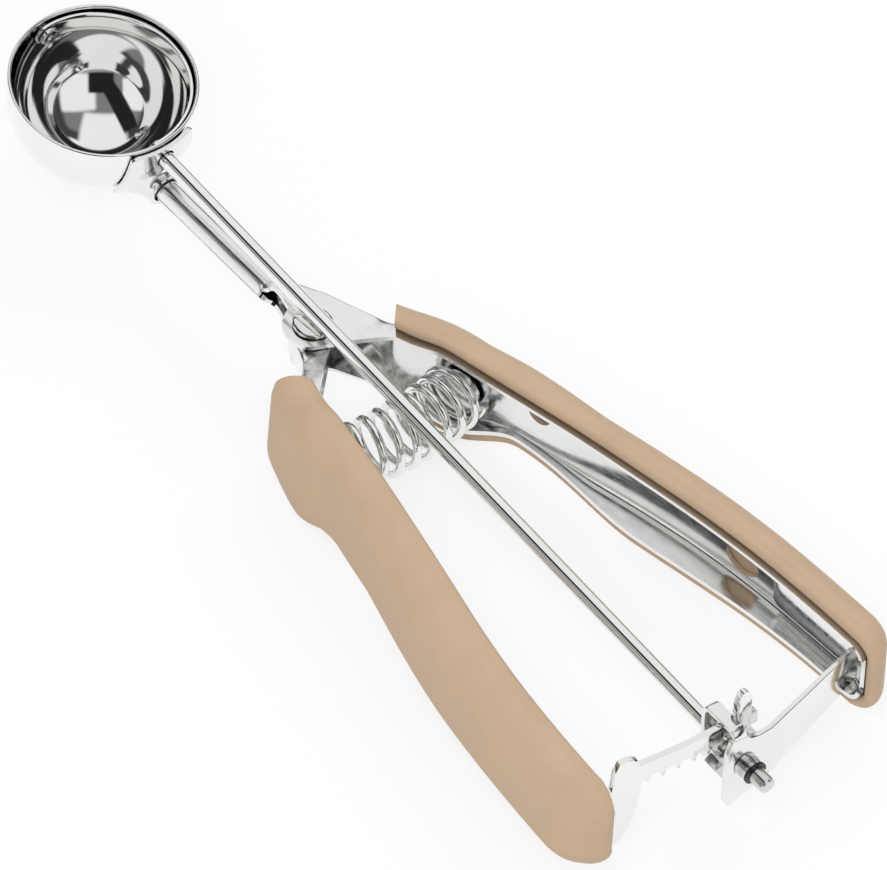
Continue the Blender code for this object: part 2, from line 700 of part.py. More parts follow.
def make_saddle():
    """A sheet wrapped on the outside of the bowl, with a flared socket for the neck."""
    inner = BOWL_RADIUS + FIT
    spare = SADDLE_THICKNESS / 2  # on the inside, cut off again by the shape of the bowl
    columns, levels = 13, 11
    rows = []
    for row in range(levels):
        share = row / (levels - 1)
        height = (BOWL_COLLAR - SADDLE_RIM_GAP) + (-SADDLE_DROP - BOWL_COLLAR + SADDLE_RIM_GAP) * share
        reach = inner - spare if height > 0 else sqrt((inner - spare) ** 2 - height ** 2)
        half = SADDLE_HALF_ANGLE_TOP + (SADDLE_HALF_ANGLE_BOTTOM - SADDLE_HALF_ANGLE_TOP) * share
        angles = [half * (2 * column / (columns - 1) - 1) for column in range(columns)]
        rows.append([(reach * cos(a), reach * sin(a), height) for a in angles])
    piece = new_part("saddle", sheet_mesh("saddle", rows, False), rod_line, steel)
    solidify(piece, SADDLE_THICKNESS + spare, 1.0)
    # Socket along the neck, which is parallel to the handle plane
    tube = NECK_RADIUS + FIT
    start = BOWL_RADIUS - 0.0030
    end = start + SOCKET_LENGTH + 0.0030
    profile = [
        (0, end), (tube + SADDLE_THICKNESS, end),
        (tube + SADDLE_THICKNESS, end - SOCKET_LENGTH * 0.5),
        (tube + SADDLE_THICKNESS + SOCKET_FLARE * 0.35, end - SOCKET_LENGTH * 1.2),
        (tube + SADDLE_THICKNESS + SOCKET_FLARE, start), (0, start),
    ]
    socket = new_cutter("socket", turned_mesh("socket", profile), neck_line)
    turn(socket)
    socket.rotation_euler = (0, radians(90), 0)
    boolean(piece, socket, "UNION")
    bore = new_cutter("socket_bore", cylinder_mesh("socket_bore", tube, 0, 2 * end, "X"), neck_line)
    boolean(piece, bore, "DIFFERENCE")
    ball = new_cutter("saddle_clear", turned_mesh("saddle_clear", bowl_clearance(inner)), rod_line)
    turn(ball, BOWL_STEPS)
    boolean(piece, ball, "DIFFERENCE")
    rod_bore = cylinder_mesh("saddle_rod_hole", ROD_RADIUS + FIT, BOWL_RADIUS * 0.85, BOWL_RADIUS * 1.6, "X")
    boolean(piece, new_cutter("saddle_rod_hole", rod_bore, rod_line), "DIFFERENCE")


def bowl_clearance(radius):
    """Profile of the space that the bowl takes, a little larger than the bowl."""
    points = [(0, 2 * BOWL_COLLAR), (radius, 2 * BOWL_COLLAR), (radius, 0)]
    for index in range(1, 12):
        angle = radians(90) * index / 12
        points.append((radius * cos(angle), -radius * sin(angle)))
    return points + [(0, -radius)]


# Rod, pinion and ring, in the rod's axes, turning together

def pinion_place():
    """Distance along the rod from the bowl to the middle of the rack."""
    return (PIVOT_TO_BOWL + RACK_RADIUS - PINION_PITCH_RADIUS * sin(ROD_TILT)) / cos(ROD_TILT)


def front_wall_place():
    return (PIVOT_TO_BOWL + FRONT_WALL_X + BRACKET_SHEET / 2) / cos(ROD_TILT)


def ring_place():
    return front_wall_place() + HUB_BEFORE_RING


def make_rod():
    shoulder = scraper_radius() + FIT
    inner_face = scraper_radius() - SCRAPER_THICKNESS - FIT
    end = front_wall_place() + BRACKET_SHEET / 2 - FIT
    profile = [
        (0, end), (ROD_RADIUS, end),
        (ROD_RADIUS, shoulder), (RIVET_RADIUS, shoulder),
        (RIVET_RADIUS, inner_face), (RIVET_HEAD_RADIUS, inner_face),
        (RIVET_HEAD_RADIUS * 0.8, inner_face - RIVET_HEAD_HEIGHT * 0.7),
        (0, inner_face - RIVET_HEAD_HEIGHT),
    ]
    piece = new_part("rod", turned_mesh("rod", profile), rod_turns, bright_steel)
    turn(piece, 24)
    lie_along_rod(piece, 0)


def tooth_half_widths(pitch):
    """Half widths of a tooth at its root and tip, with the backlash taken off."""
    middle = pitch / 4 - TOOTH_SLIM
    return middle + TOOTH_FLANK, middle - TOOTH_FLANK


def make_pinion():
    pitch = 2 * pi * PINION_PITCH_RADIUS / PINION_TEETH
    root_half, tip_half = tooth_half_widths(pitch)
    tip = PINION_PITCH_RADIUS + TOOTH_ADDENDUM
    root = PINION_PITCH_RADIUS - TOOTH_ADDENDUM - TOOTH_CLEARANCE
    middle = pinion_place()

    def build(work):
        # The gear's outline, with a gap on top where the rack's tooth stands at rest
        points = []
        for index in range(PINION_TEETH):
            centre = 2 * pi * (index + 0.5) / PINION_TEETH
            for radius, offset in ((root, -root_half), (tip, -tip_half), (tip, tip_half), (root, root_half)):
                angle = centre + offset / PINION_PITCH_RADIUS
                points.append((radius * sin(angle), radius * cos(angle)))
        ends = []
        for x in (middle - PINION_WIDTH / 2, middle + PINION_WIDTH / 2):
            ends.append([work.verts.new((x, across, up)) for across, up in points])
        count = len(points)
        work.faces.new(ends[0])
        work.faces.new(ends[1][::-1])
        for index in range(count):
            after = (index + 1) % count
            work.faces.new((ends[0][index], ends[1][index], ends[1][after], ends[0][after]))
        work.normal_update()
        bmesh.ops.recalc_face_normals(work, faces=work.faces)

    piece = new_part("pinion", mesh_of("pinion", build), rod_turns, steel)
    groove = ring_place()
    wall = front_wall_place() + BRACKET_SHEET / 2
    rear = REAR_WALL_X + PIVOT_TO_BOWL + 0.0022
    profile = [
        (0, groove + RING_WIDTH + 2 * FIT + HUB_TIP),
        (HUB_TIP_RADIUS * 0.82, groove + RING_WIDTH + 2 * FIT + HUB_TIP),
        (HUB_TIP_RADIUS, groove + RING_WIDTH + 2 * FIT + HUB_TIP - 0.0004),
        (HUB_TIP_RADIUS, groove + RING_WIDTH + FIT),
        (HUB_TIP_RADIUS - RING_GROOVE, groove + RING_WIDTH + FIT),
        (HUB_TIP_RADIUS - RING_GROOVE, groove - FIT),
        (HUB_TIP_RADIUS, groove - FIT),
        (HUB_TIP_RADIUS, wall), (HUB_RADIUS, wall),
        (HUB_RADIUS, rear), (0, rear),
    ]
    hub = new_cutter("pinion_hub", turned_mesh("pinion_hub", profile), rod_turns)
    turn(hub, 24)
    lie_along_rod(hub, 0)
    boolean(piece, hub, "UNION")
    bore = cylinder_mesh("pinion_bore", ROD_RADIUS + 0.00012, rear - 0.002, wall, "X")
    boolean(piece, new_cutter("pinion_bore", bore, rod_turns), "DIFFERENCE")
    make_ring("thrust_washer", HUB_TIP_RADIUS + WASHER_GAP, WASHER_RADIUS, wall + WASHER_GAP,
              groove - WASHER_GAP, steel)
    make_ring("retaining_ring", HUB_TIP_RADIUS - RING_GROOVE + FIT, RING_RADIUS, groove,
              groove + RING_WIDTH, dark_steel)


def make_ring(name, inner, outer, start, end, finish):
    """A flat ring on the pinion's hub, from start to end along the rod."""
    ring = [(inner, end), (outer, end), (outer, start), (inner, start)]
    piece = new_part(name, turned_mesh(name, ring, True), rod_turns, finish)
    turn(piece, 24)
    lie_along_rod(piece, 0)


# Upright sheets that follow a line in the handle plane

def ribbon(name, stations, thickness, parent, finish, outward=True):
    """An upright sheet through (x, y, lower edge, upper edge) stations."""
    low = [(x, y, below) for x, y, below, _ in stations]
    high = [(x, y, above) for x, y, _, above in stations]
    piece = new_part(name, sheet_mesh(name, [low, high], outward), parent, finish)
    solidify(piece, thickness, 0.0)
    return piece


def foot_stations(line, spread, side, sheet, corner_u):
    """A foot that lies on the back of the channel, from its rounded end to its bend at corner_u."""
    inside = GRIP_WALL + FIT + STEEL + FIT + sheet / 2

    def seat(u):
        return grip_line(line, u, 1) - inside

    foot_start = RACK_RADIUS - FOOT_LENGTH
    middle = (foot_start + corner_u) / 2
    bend = corner_u - FOOT_BEND
    places = [(foot_start, seat(foot_start), 0.72), (foot_start + 0.0016, seat(foot_start + 0.0016), 1.0),
              (middle, seat(middle), 1.0), (bend, seat(bend), 1.0)]
    for degrees in (30, 60, 90):
        angle = radians(degrees)
        places.append((bend + FOOT_BEND * sin(angle), seat(bend) - FOOT_BEND * (1 - cos(angle)), 1.0))
    found = []
    for u, v, share in places:
        x = u * cos(spread) - v * sin(spread)
        y = side * (u * sin(spread) + v * cos(spread))
        found.append((x, y, FOOT_LOW * share, FOOT_HIGH * share))
    return found


def make_rack():
    pitch = 2 * pi * PINION_PITCH_RADIUS / PINION_TEETH
    gap = pitch / 2
    root_half, tip_half = tooth_half_widths(pitch)
    axis = rod_height(RACK_RADIUS)
    tip = axis + PINION_PITCH_RADIUS - TOOTH_ADDENDUM
    root = axis + PINION_PITCH_RADIUS + TOOTH_ADDENDUM + TOOTH_CLEARANCE
    top = root + RACK_BODY
    ear_left = FOLD_RIGHT + FIT + RACK_SHEET * 0.1
    outline = []  # y along the rack, lower edge, upper edge, from the free end to the plate

    def add(y, lower, upper=top):
        outline.append((y, lower, upper))

    # Free end with its upright ear, which stops against the fold
    ear_middle = ear_left + EAR_TAB_WIDTH / 2
    add(ear_left + EAR_TAB_WIDTH + 0.0016, root, top - 0.0010)
    add(ear_left + EAR_TAB_WIDTH + 0.0002, root)
    teeth = []
    for index in range(RACK_LAST_TOOTH, RACK_FIRST_TOOTH - 1, -1):
        centre = index * pitch
        teeth += [(centre + root_half, root), (centre + tip_half, tip),
                  (centre - tip_half, tip), (centre - root_half, root)]
    ear = []
    for degrees in range(0, 181, 20):
        angle = radians(degrees)
        ear.append((ear_middle + EAR_TAB_WIDTH / 2 * cos(angle),
                    top + EAR_TAB_HEIGHT * sin(angle) ** 0.6))

    def lower_at(y):
        for (y_a, z_a), (y_b, z_b) in zip(teeth, teeth[1:]):
            if y_b <= y <= y_a:
                return z_a + (z_b - z_a) * (y_a - y) / (y_a - y_b)
        return root

    def upper_at(y):
        for (y_a, z_a), (y_b, z_b) in zip(ear, ear[1:]):
            if y_b <= y <= y_a:
                return z_a + (z_b - z_a) * (y_a - y) / (y_a - y_b)
        return top

    places = sorted({round(y, 7) for y, _ in teeth + ear}, reverse=True)
    for y in places:
        if y < ear_left + EAR_TAB_WIDTH + 0.0002:
            add(y, lower_at(y), upper_at(y))
    # End plate with its hump, outside the mouth of the lever's channel
    plate = RACK_FIRST_TOOTH * pitch - root_half - gap * 0.2
    width = END_PLATE_WIDTH
    hump = top + HUMP_HEIGHT
    add(plate - width * 0.06, -0.0005)
    add(plate - width * 0.16, -0.0040, top + HUMP_HEIGHT * 0.6)
    add(plate - width * 0.32, -0.0066, hump - 0.0003)
    add(plate - width * 0.55, -END_PLATE_DROP + 0.0010, hump)
    add(plate - width * 0.75, -END_PLATE_DROP, hump - 0.0004)
    add(plate - width * 0.90, -END_PLATE_DROP + 0.0014, top)
    add(plate - width * 0.96, FOOT_LOW, FOOT_HIGH)
    stations = [(sqrt(RACK_RADIUS ** 2 - y ** 2), y, lower, upper) for y, lower, upper in outline]
    foot_depth = GRIP_WALL + STEEL + 2 * FIT + RACK_SHEET / 2 + FOOT_BEND
    corner_v = grip_line(LEVER_LINE, RACK_RADIUS, 1) - foot_depth
    corner_u = sqrt(RACK_RADIUS ** 2 - corner_v ** 2)
    foot = foot_stations(LEVER_LINE, LEVER_SPREAD, -1, RACK_SHEET, corner_u)
    ribbon("rack", stations + foot[::-1], RACK_SHEET, lever_side, bright_steel)


def make_end_bracket():
    axis = rod_height(FRONT_WALL_X)
    # Front wall, strap and foot: y, lower edge, upper edge above the handle plane
    wall = ((-0.0056, -0.0050, 0.0050), (-0.0053, -0.0068, 0.0068), (-0.0045, -0.0084, 0.0094),
            (-0.0036, -0.0082, 0.0096), (-0.0010, -0.0074, 0.0092), (0.0002, -0.0070, 0.0080),
            (0.0022, -0.0064, 0.0074), (0.0050, -0.0056, 0.0074))
    stations = [(FRONT_WALL_X, y, axis + lower, axis + upper) for y, lower, upper in wall]
    foot = foot_stations(FRAME_LINE, FRAME_SPREAD, 1, BRACKET_SHEET, STRAP_END_U)
    piece = ribbon("end_bracket", stations + foot[::-1], BRACKET_SHEET, fixed_side, bright_steel)
    # Rear wall and the fold that passes over the rack into the front wall
    rack_top = (rod_height(RACK_RADIUS) + PINION_PITCH_RADIUS + TOOTH_ADDENDUM + TOOTH_CLEARANCE
                + RACK_BODY)
    over = rack_top + FIT + FOLD_SHEET / 2
    bend = 0.0016
    line = [(REAR_WALL_X, axis - 0.0042, -0.0022, 0.0022), (REAR_WALL_X, axis - 0.0034, -0.0034, 0.0032),
            (REAR_WALL_X, axis, FOLD_LEFT, 0.0036), (REAR_WALL_X, axis + 0.0040, FOLD_LEFT, 0.0030),
            (REAR_WALL_X, over - bend - 0.0014, FOLD_LEFT, FOLD_RIGHT)]
    for degrees in (180, 135, 90):
        angle = radians(degrees)
        line.append((REAR_WALL_X + bend + bend * cos(angle), over - bend + bend * sin(angle),
                     FOLD_LEFT, FOLD_RIGHT))
    for degrees in (90, 45, 0):
        angle = radians(degrees)
        line.append((FRONT_WALL_X - bend + bend * cos(angle), over - bend + bend * sin(angle),
                     FOLD_LEFT, FOLD_RIGHT))
    line.append((FRONT_WALL_X, axis + 0.0060, FOLD_LEFT, FOLD_RIGHT))
    left = [(x, y, z) for x, z, y, _ in line]
    right = [(x, y, z) for x, z, _, y in line]
    fold = new_cutter("bracket_fold", sheet_mesh("bracket_fold", [left, right], True), fixed_side)
    solidify(fold, FOLD_SHEET, 0.0)
    boolean(piece, fold, "UNION")
    hub_hole = cylinder_mesh("hub_hole", HUB_RADIUS + FIT, front_wall_place() - 0.003,
                             front_wall_place() + 0.003, "X")
    boolean(piece, new_cutter("hub_hole", hub_hole, rod_line), "DIFFERENCE")
    rear = REAR_WALL_X + PIVOT_TO_BOWL
    rod_hole = cylinder_mesh("rod_hole", ROD_RADIUS + FIT, rear - 0.003, rear + 0.003, "X")
    boolean(piece, new_cutter("rod_hole", rod_hole, rod_line), "DIFFERENCE")


# Spring and its seats

def channel_back(line, start, bulge, nose, spread):
    """Points (x, distance from the rod's plane) along the inner face of a channel's back."""
    inset = GRIP_WALL + FIT
    points = []
    for one in grip_stations(line, start, bulge, nose, inset, GRIP_LIP, radians(84)):
        u = one["u"] + one["slant"] * inset
        v = one["back"] - STEEL - SEAT_GAP
        points.append((u * cos(spread) - v * sin(spread), u * sin(spread) + v * cos(spread)))
    return points


def height_at(points, x):
    for (x_a, y_a), (x_b, y_b) in zip(points, points[1:]):
        if x_a <= x <= x_b:
            return y_a + (y_b - y_a) * (x - x_a) / (x_b - x_a)
    return points[0][1]


def seat_plane(points, side):
    """Where the spring meets a channel's back: middle, direction along the back, and inward normal."""
    reach = SPRING_RADIUS + WIRE_RADIUS
    first = Vector((SPRING_X - reach, side * height_at(points, SPRING_X - reach), -SPRING_DROP))
    last = Vector((SPRING_X + reach, side * height_at(points, SPRING_X + reach), -SPRING_DROP))
    along = (last - first).normalized()
    inward = Vector((along.y, -along.x, 0)) * side
    return (first + last) / 2, along, inward


def make_seat(name, plane, parent):
    """A short boss on the channel's back, inside the end of the spring."""
    middle, along, inward = plane
    mesh = cylinder_mesh(name, SEAT_RADIUS, 0, SEAT_HEIGHT)
    turned = Matrix((along, inward.cross(along), inward)).transposed().to_4x4()
    mesh.transform(Matrix.Translation(middle) @ turned)
    new_part(name, mesh, parent, steel)


def bent_line(start, start_way, end, end_way, share):
    """A point and a direction on the spring's bent axis, square to both seats."""
    handle = (end - start).length * 0.35
    a, b, c, d = start, start + start_way * handle, end + end_way * handle, end
    rest = 1 - share
    place = a * rest ** 3 + b * 3 * rest ** 2 * share + c * 3 * rest * share ** 2 + d * share ** 3
    way = (b - a) * rest ** 2 + (c - b) * 2 * rest * share + (d - c) * share ** 2
    return place, way.normalized()


def make_spring(lever_plane, frame_plane):
    """One wire from the lever's seat to the frame's, with a closed turn at each end."""
    start = lever_plane[0] + lever_plane[2] * WIRE_RADIUS
    end = frame_plane[0] + frame_plane[2] * WIRE_RADIUS
    curve = bpy.data.curves.new("spring_wire", "CURVE")
    curve.dimensions = "3D"
    curve.bevel_depth = WIRE_RADIUS
    curve.bevel_resolution = 1
    curve.use_fill_caps = True
    turns = SPRING_TURNS + 2 * SPRING_DEAD_TURNS
    length = (end - start).length
    open_pitch = (length - 2 * SPRING_DEAD_TURNS * DEAD_PITCH) / SPRING_TURNS
    points = []
    for index in range(turns * SPRING_POINTS + 1):
        turned = index / SPRING_POINTS
        rise = min(turned, SPRING_DEAD_TURNS) * DEAD_PITCH
        rise += min(max(turned - SPRING_DEAD_TURNS, 0), SPRING_TURNS) * open_pitch
        rise += max(turned - SPRING_DEAD_TURNS - SPRING_TURNS, 0) * DEAD_PITCH
        angle = 2 * pi * turned
        place, way = bent_line(start, lever_plane[2], end, frame_plane[2], rise / length)
        out = Vector((way.y, -way.x, 0)) * SPRING_RADIUS * cos(angle)
        points.append(place + out + Vector((0, 0, SPRING_RADIUS * sin(angle))))
    line = curve.splines.new("POLY")
    line.points.add(len(points) - 1)
    for place, point in zip(line.points, points):
        place.co = (*point, 1)
    least = min(dist(points[i], points[j]) for i in range(len(points))
                for j in range(i + SPRING_POINTS // 2, len(points)))
    print(f"spring: least gap of the wire to itself {(least - 2 * WIRE_RADIUS) * 1000:.2f} mm")
    guide = bpy.data.objects.new("spring_guide", curve)
    scoop_cutters.objects.link(guide)
    bpy.context.view_layer.update()
    shape = guide.evaluated_get(bpy.context.evaluated_depsgraph_get())
    mesh = bpy.data.meshes.new_from_object(shape)
    mesh.name = "spring"
    work = bmesh.new()
    work.from_mesh(mesh)
    bmesh.ops.remove_doubles(work, verts=work.verts, dist=0.00001)
    work.to_mesh(mesh)
    work.free()
    bpy.data.objects.remove(guide, do_unlink=True)
    new_part("spring", mesh, fixed_side, bright_steel)


clear_scene()
scoop_parts = new_collection("ice_cream_scoop")
scoop_cutters = new_collection("cutters")

steel = new_material("polished steel", (0.72, 0.72, 0.71), 0.12, 1.0)
bright_steel = new_material("mirror steel", (0.78, 0.78, 0.77), 0.06, 1.0)
dark_steel = new_material("blackened spring steel", (0.05, 0.05, 0.05), 0.35, 1.0)
tan_plastic = new_material("tan grip plastic", (0.55, 0.40, 0.27), 0.5, 0.0)

scoop = new_empty("scoop", None, (0, 0, HANDLE_PLANE))
fixed_side = new_empty("fixed_side", scoop)
lever_side = new_empty("lever_side", scoop)
rod_line = new_empty("rod_line", scoop, (-PIVOT_TO_BOWL, 0, rod_height(-PIVOT_TO_BOWL)), (0, ROD_TILT, 0))
rod_turns = new_empty("rod_turns", rod_line)
neck_line = new_empty("neck_line", scoop, (-PIVOT_TO_BOWL, 0, NECK_HEIGHT))

make_bowl()
make_front_rivet()
make_saddle()
make_handle_frame()
make_grip("right_grip", FRAME_LINE, FRAME_GRIP_START, 0.0, 0.0, FRAME_SPREAD, 1, fixed_side)
make_pivot()
make_lever_frame()
make_grip("left_grip", LEVER_LINE, LEVER_GRIP_START, LEVER_POCKET_BULGE, LEVER_NOSE, LEVER_SPREAD, -1, lever_side)
make_rack()
make_end_bracket()
make_scraper()
make_rod()
make_pinion()
frame_back = channel_back(FRAME_LINE, FRAME_GRIP_START, 0.0, 0.0, FRAME_SPREAD)
lever_back = channel_back(LEVER_LINE, LEVER_GRIP_START, LEVER_POCKET_BULGE, LEVER_NOSE, LEVER_SPREAD)
frame_plane = seat_plane(frame_back, 1)
lever_plane = seat_plane(lever_back, -1)
make_seat("frame_spring_seat", frame_plane, fixed_side)
make_seat("lever_spring_seat", lever_plane, lever_side)
make_spring(lever_plane, frame_plane)
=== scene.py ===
from math import cos, dist, pi, radians, sin, sqrt, tan

import bmesh
import bpy
from mathutils import Matrix, Vector


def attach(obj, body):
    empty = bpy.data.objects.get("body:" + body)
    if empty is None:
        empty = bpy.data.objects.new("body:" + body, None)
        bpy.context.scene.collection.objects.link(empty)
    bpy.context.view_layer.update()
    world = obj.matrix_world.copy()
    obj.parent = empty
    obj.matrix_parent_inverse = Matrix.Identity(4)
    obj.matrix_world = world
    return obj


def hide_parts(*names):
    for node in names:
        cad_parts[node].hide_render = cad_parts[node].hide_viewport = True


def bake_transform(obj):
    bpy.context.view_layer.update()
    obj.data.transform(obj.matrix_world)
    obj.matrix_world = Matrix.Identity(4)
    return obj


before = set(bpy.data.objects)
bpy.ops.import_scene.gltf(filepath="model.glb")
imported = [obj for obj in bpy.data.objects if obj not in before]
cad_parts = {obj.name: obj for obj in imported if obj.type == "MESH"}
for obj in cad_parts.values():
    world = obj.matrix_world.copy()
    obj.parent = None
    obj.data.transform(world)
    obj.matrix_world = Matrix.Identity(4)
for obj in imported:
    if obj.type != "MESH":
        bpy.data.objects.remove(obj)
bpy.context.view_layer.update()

# The table, the room and the camera
# The scoop lies on a plain white table, lit softly from all round, as a kitchen catalogue shows it.
# Polished steel needs something to reflect: the room is dim, with bright windows round the camera.
PIVOT_TO_BOWL = 0.0630
PIVOT_TO_CROSSING = 0.1298  # from the pivot to where the rod's axis meets the plane of the handles
ROD_TILT = radians(3.45)
HANDLE_PLANE = 0.0057
PICTURE = (887, 870)  # pixels
PIXELS_PER_METRE = 5380
BOWL_IN_PICTURE = (103.6, 79.9)  # pixel of the middle of the bowl's rim
BOWL_COLLAR = 0.0035
VIEW_TURN = radians(-0.55)
VIEW_ACROSS = Vector((0.6165, 0.7821, 0.0919))
VIEW_UP = Vector((-0.6553, 0.4445, 0.6102))
EYE_DISTANCE = 0.4
ROOM_LIGHT = 0.62
ROOM_RISE = (0.10, 0.45)  # between these heights the room grows brighter, as reflections see it
ROOM_TONES = (0.01, 0.07)
WINDOW_EDGE = 0.15  # softness, as a share of the window's half width
TABLE_TOP = -0.0081
TABLE_REACH = 3.0
TABLE_SHOWN_WHITE = 0.8
LIT_POINT = Vector((0.03, 0, 0))


def rod_height(x):
    """Height of the rod's axis above the plane of the handles."""
    return (PIVOT_TO_CROSSING - x) * tan(ROD_TILT)


AT_HANDLES = Matrix.Translation((0, 0, HANDLE_PLANE))
AT_BOWL = (Matrix.Translation((-PIVOT_TO_BOWL, 0, rod_height(-PIVOT_TO_BOWL) + HANDLE_PLANE))
           @ Matrix.Rotation(ROD_TILT, 4, "Y"))


def add_object(name, data):
    made = bpy.data.objects.new(name, data)
    bpy.context.scene.collection.objects.link(made)
    return made


across = VIEW_ACROSS.normalized()
upward = (VIEW_UP - across * VIEW_UP.dot(across)).normalized()
backward = across.cross(upward)
middle = (Vector((0, 0, BOWL_COLLAR))
          + across * (PICTURE[0] / 2 - BOWL_IN_PICTURE[0]) / PIXELS_PER_METRE
          - upward * (PICTURE[1] / 2 - BOWL_IN_PICTURE[1]) / PIXELS_PER_METRE + backward * EYE_DISTANCE)
eye = bpy.data.cameras.new("catalogue_view")
eye.type = "ORTHO"
eye.ortho_scale = PICTURE[0] / PIXELS_PER_METRE
eye.clip_end = 5
camera = add_object("catalogue_view", eye)
turned = Matrix((across, upward, backward)).transposed().to_4x4()
camera.matrix_world = AT_BOWL @ Matrix.Rotation(VIEW_TURN, 4, "Z") @ Matrix.Translation(middle) @ turned
bpy.context.scene.camera = camera
bpy.context.scene.view_settings.view_transform = "Standard"


def feed(tree, node, inputs):
    """Fills a node's inputs with values, with sockets, or with nodes' first outputs."""
    for slot, value in inputs.items():
        if isinstance(value, bpy.types.Node):
            value = value.outputs[0]
        if isinstance(value, bpy.types.NodeSocket):
            tree.links.new(value, node.inputs[slot])
        else:
            node.inputs[slot].default_value = value


def add_node(tree, kind, inputs=None, **settings):
    """A new node, set and fed."""
    made = tree.nodes.new(kind)
    for name, value in settings.items():
        setattr(made, name, value)
    feed(tree, made, inputs or {})
    return made


def math_node(tree, operation, *inputs):
    return add_node(tree, "ShaderNodeMath", dict(enumerate(inputs)), operation=operation)


def vector_node(tree, operation, inputs):
    return add_node(tree, "ShaderNodeVectorMath", inputs, operation=operation)


def gloss_rays(tree, path):
    """1 for a ray that a reflection or glass sent here, else 0."""
    return math_node(tree, "MAXIMUM", path["Is Glossy Ray"], path["Is Transmission Ray"])


WINDOWS = (
    # right of the camera and above it, half width, half height, lean to the left (degrees), brightness
    (0, 5, 52, 52, 0, 0.26),
    (0, -38, 32, 14, 0, 0.42),
    (31, 1, 23, 23, 0, 1.1),
    (-40, 3, 14, 19, 0, 1.1),
    (85, 8, 10, 32, 0, 1.1),
    (-76, 0, 14, 36, 0, 1.1),
    (-3, 54, 26, 26, 0, 1.1),
    (0, 84, 34, 14, 0, 1.1),
    (-6, 107, 26, 13, 0, 1.1),
    (1, -11, 16, 13, 0, 0.02),
    (-23, 17, 10, 37, 33, 0.02),
)
STRAIGHT_AHEAD = 0.001  # least share of a direction, so that nothing is divided by zero


def window(tree, direction, level, axes, aside, above, half_wide, half_high, lean, tone):
    """Adds a soft-edged rectangle, as seen from the scoop, to the room's brightness."""
    right, up, to_eye = axes
    turn, lift, roll = radians(aside), radians(above), radians(lean)
    ahead = to_eye * cos(turn) + right * sin(turn)
    straight = ahead * cos(lift) + up * sin(lift)
    sideways = right * cos(turn) - to_eye * sin(turn)
    upright = up * cos(lift) - ahead * sin(lift)

    def measured(axis):
        return vector_node(tree, "DOT_PRODUCT", {0: direction, 1: axis}).outputs["Value"]

    front = math_node(tree, "MAXIMUM", measured(straight), STRAIGHT_AHEAD)
    masks = []
    for tangent, half in ((sideways * cos(roll) + upright * sin(roll), half_wide),
                          (upright * cos(roll) - sideways * sin(roll), half_high)):
        size = math_node(tree, "ABSOLUTE", math_node(tree, "DIVIDE", measured(tangent), front))
        edge = tan(radians(half))
        masks.append(add_node(tree, "ShaderNodeMapRange",
                              {"Value": size, "From Min": edge * (1 + WINDOW_EDGE),
                               "From Max": edge * (1 - WINDOW_EDGE)}, interpolation_type="SMOOTHSTEP"))
    return add_node(tree, "ShaderNodeMix", {0: math_node(tree, "MULTIPLY", *masks), 2: level, 3: tone})


def make_room():
    room = bpy.data.worlds.new("white_room")
    room.use_nodes = True
    tree = room.node_tree
    tree.nodes.clear()
    white = (1, 1, 1, 1)
    for_eye = add_node(tree, "ShaderNodeBackground", {"Color": white})
    for_light = add_node(tree, "ShaderNodeBackground", {"Color": white, "Strength": ROOM_LIGHT})
    path = add_node(tree, "ShaderNodeLightPath").outputs
    direction = add_node(tree, "ShaderNodeTexCoord").outputs["Generated"]
    height = add_node(tree, "ShaderNodeSeparateXYZ", {0: direction}).outputs["Z"]
    level = add_node(tree, "ShaderNodeMapRange", dict(enumerate((height, *ROOM_RISE, *ROOM_TONES))))
    turned_view = camera.matrix_world.to_3x3()
    axes = [turned_view.col[index].normalized() for index in range(3)]
    for row in WINDOWS:
        level = window(tree, direction, level, axes, *row)
    for_gloss = add_node(tree, "ShaderNodeBackground", {"Strength": level})
    lit = add_node(tree, "ShaderNodeMixShader", {0: gloss_rays(tree, path), 1: for_light, 2: for_gloss})
    whole = add_node(tree, "ShaderNodeMixShader", {0: path["Is Camera Ray"], 1: lit, 2: for_eye})
    add_node(tree, "ShaderNodeOutputWorld", {0: whole})
    bpy.context.scene.world = room


make_room()


def new_material(name):
    """A material with its node tree and its shader."""
    made = bpy.data.materials.new(name)
    made.use_nodes = True
    return made, made.node_tree, made.node_tree.nodes["Principled BSDF"]


def make_table():
    mesh = bpy.data.meshes.new("table")
    corners = [(x * TABLE_REACH, y * TABLE_REACH, TABLE_TOP)
               for x, y in ((-1, -1), (1, -1), (1, 1), (-1, 1))]
    mesh.from_pydata(corners, [], [(0, 1, 2, 3)])
    table = add_object("table", mesh)
    paint, tree, shader = new_material("white_table")
    feed(tree, shader, {"Base Color": (0.93, 0.93, 0.93, 1), "Roughness": 0.9, "Specular IOR Level": 0.0})
    path = add_node(tree, "ShaderNodeLightPath").outputs
    seen = math_node(tree, "MAXIMUM", gloss_rays(tree, path), path["Is Camera Ray"])
    share = math_node(tree, "MULTIPLY", seen, TABLE_SHOWN_WHITE)
    white = add_node(tree, "ShaderNodeEmission")
    both = add_node(tree, "ShaderNodeMixShader", {0: share, 1: shader, 2: white})
    feed(tree, tree.nodes["Material Output"], {0: both})
    mesh.materials.append(paint)


make_table()


def make_light(name, place, size, power):
    lamp = bpy.data.lights.new(name, "AREA")
    lamp.shape = "DISK"
    lamp.size = size
    lamp.energy = power
    holder = add_object(name, lamp)
    holder.visible_glossy = False
    holder.location = place
    aim = LIT_POINT - Vector(place)
    holder.rotation_euler = aim.to_track_quat("-Z", "Y").to_euler()


make_light("soft_key", (0.36, -0.46, 0.80), 0.5, 3.8)
make_light("soft_fill", (-0.20, 0.55, 0.70), 0.6, 2.0)


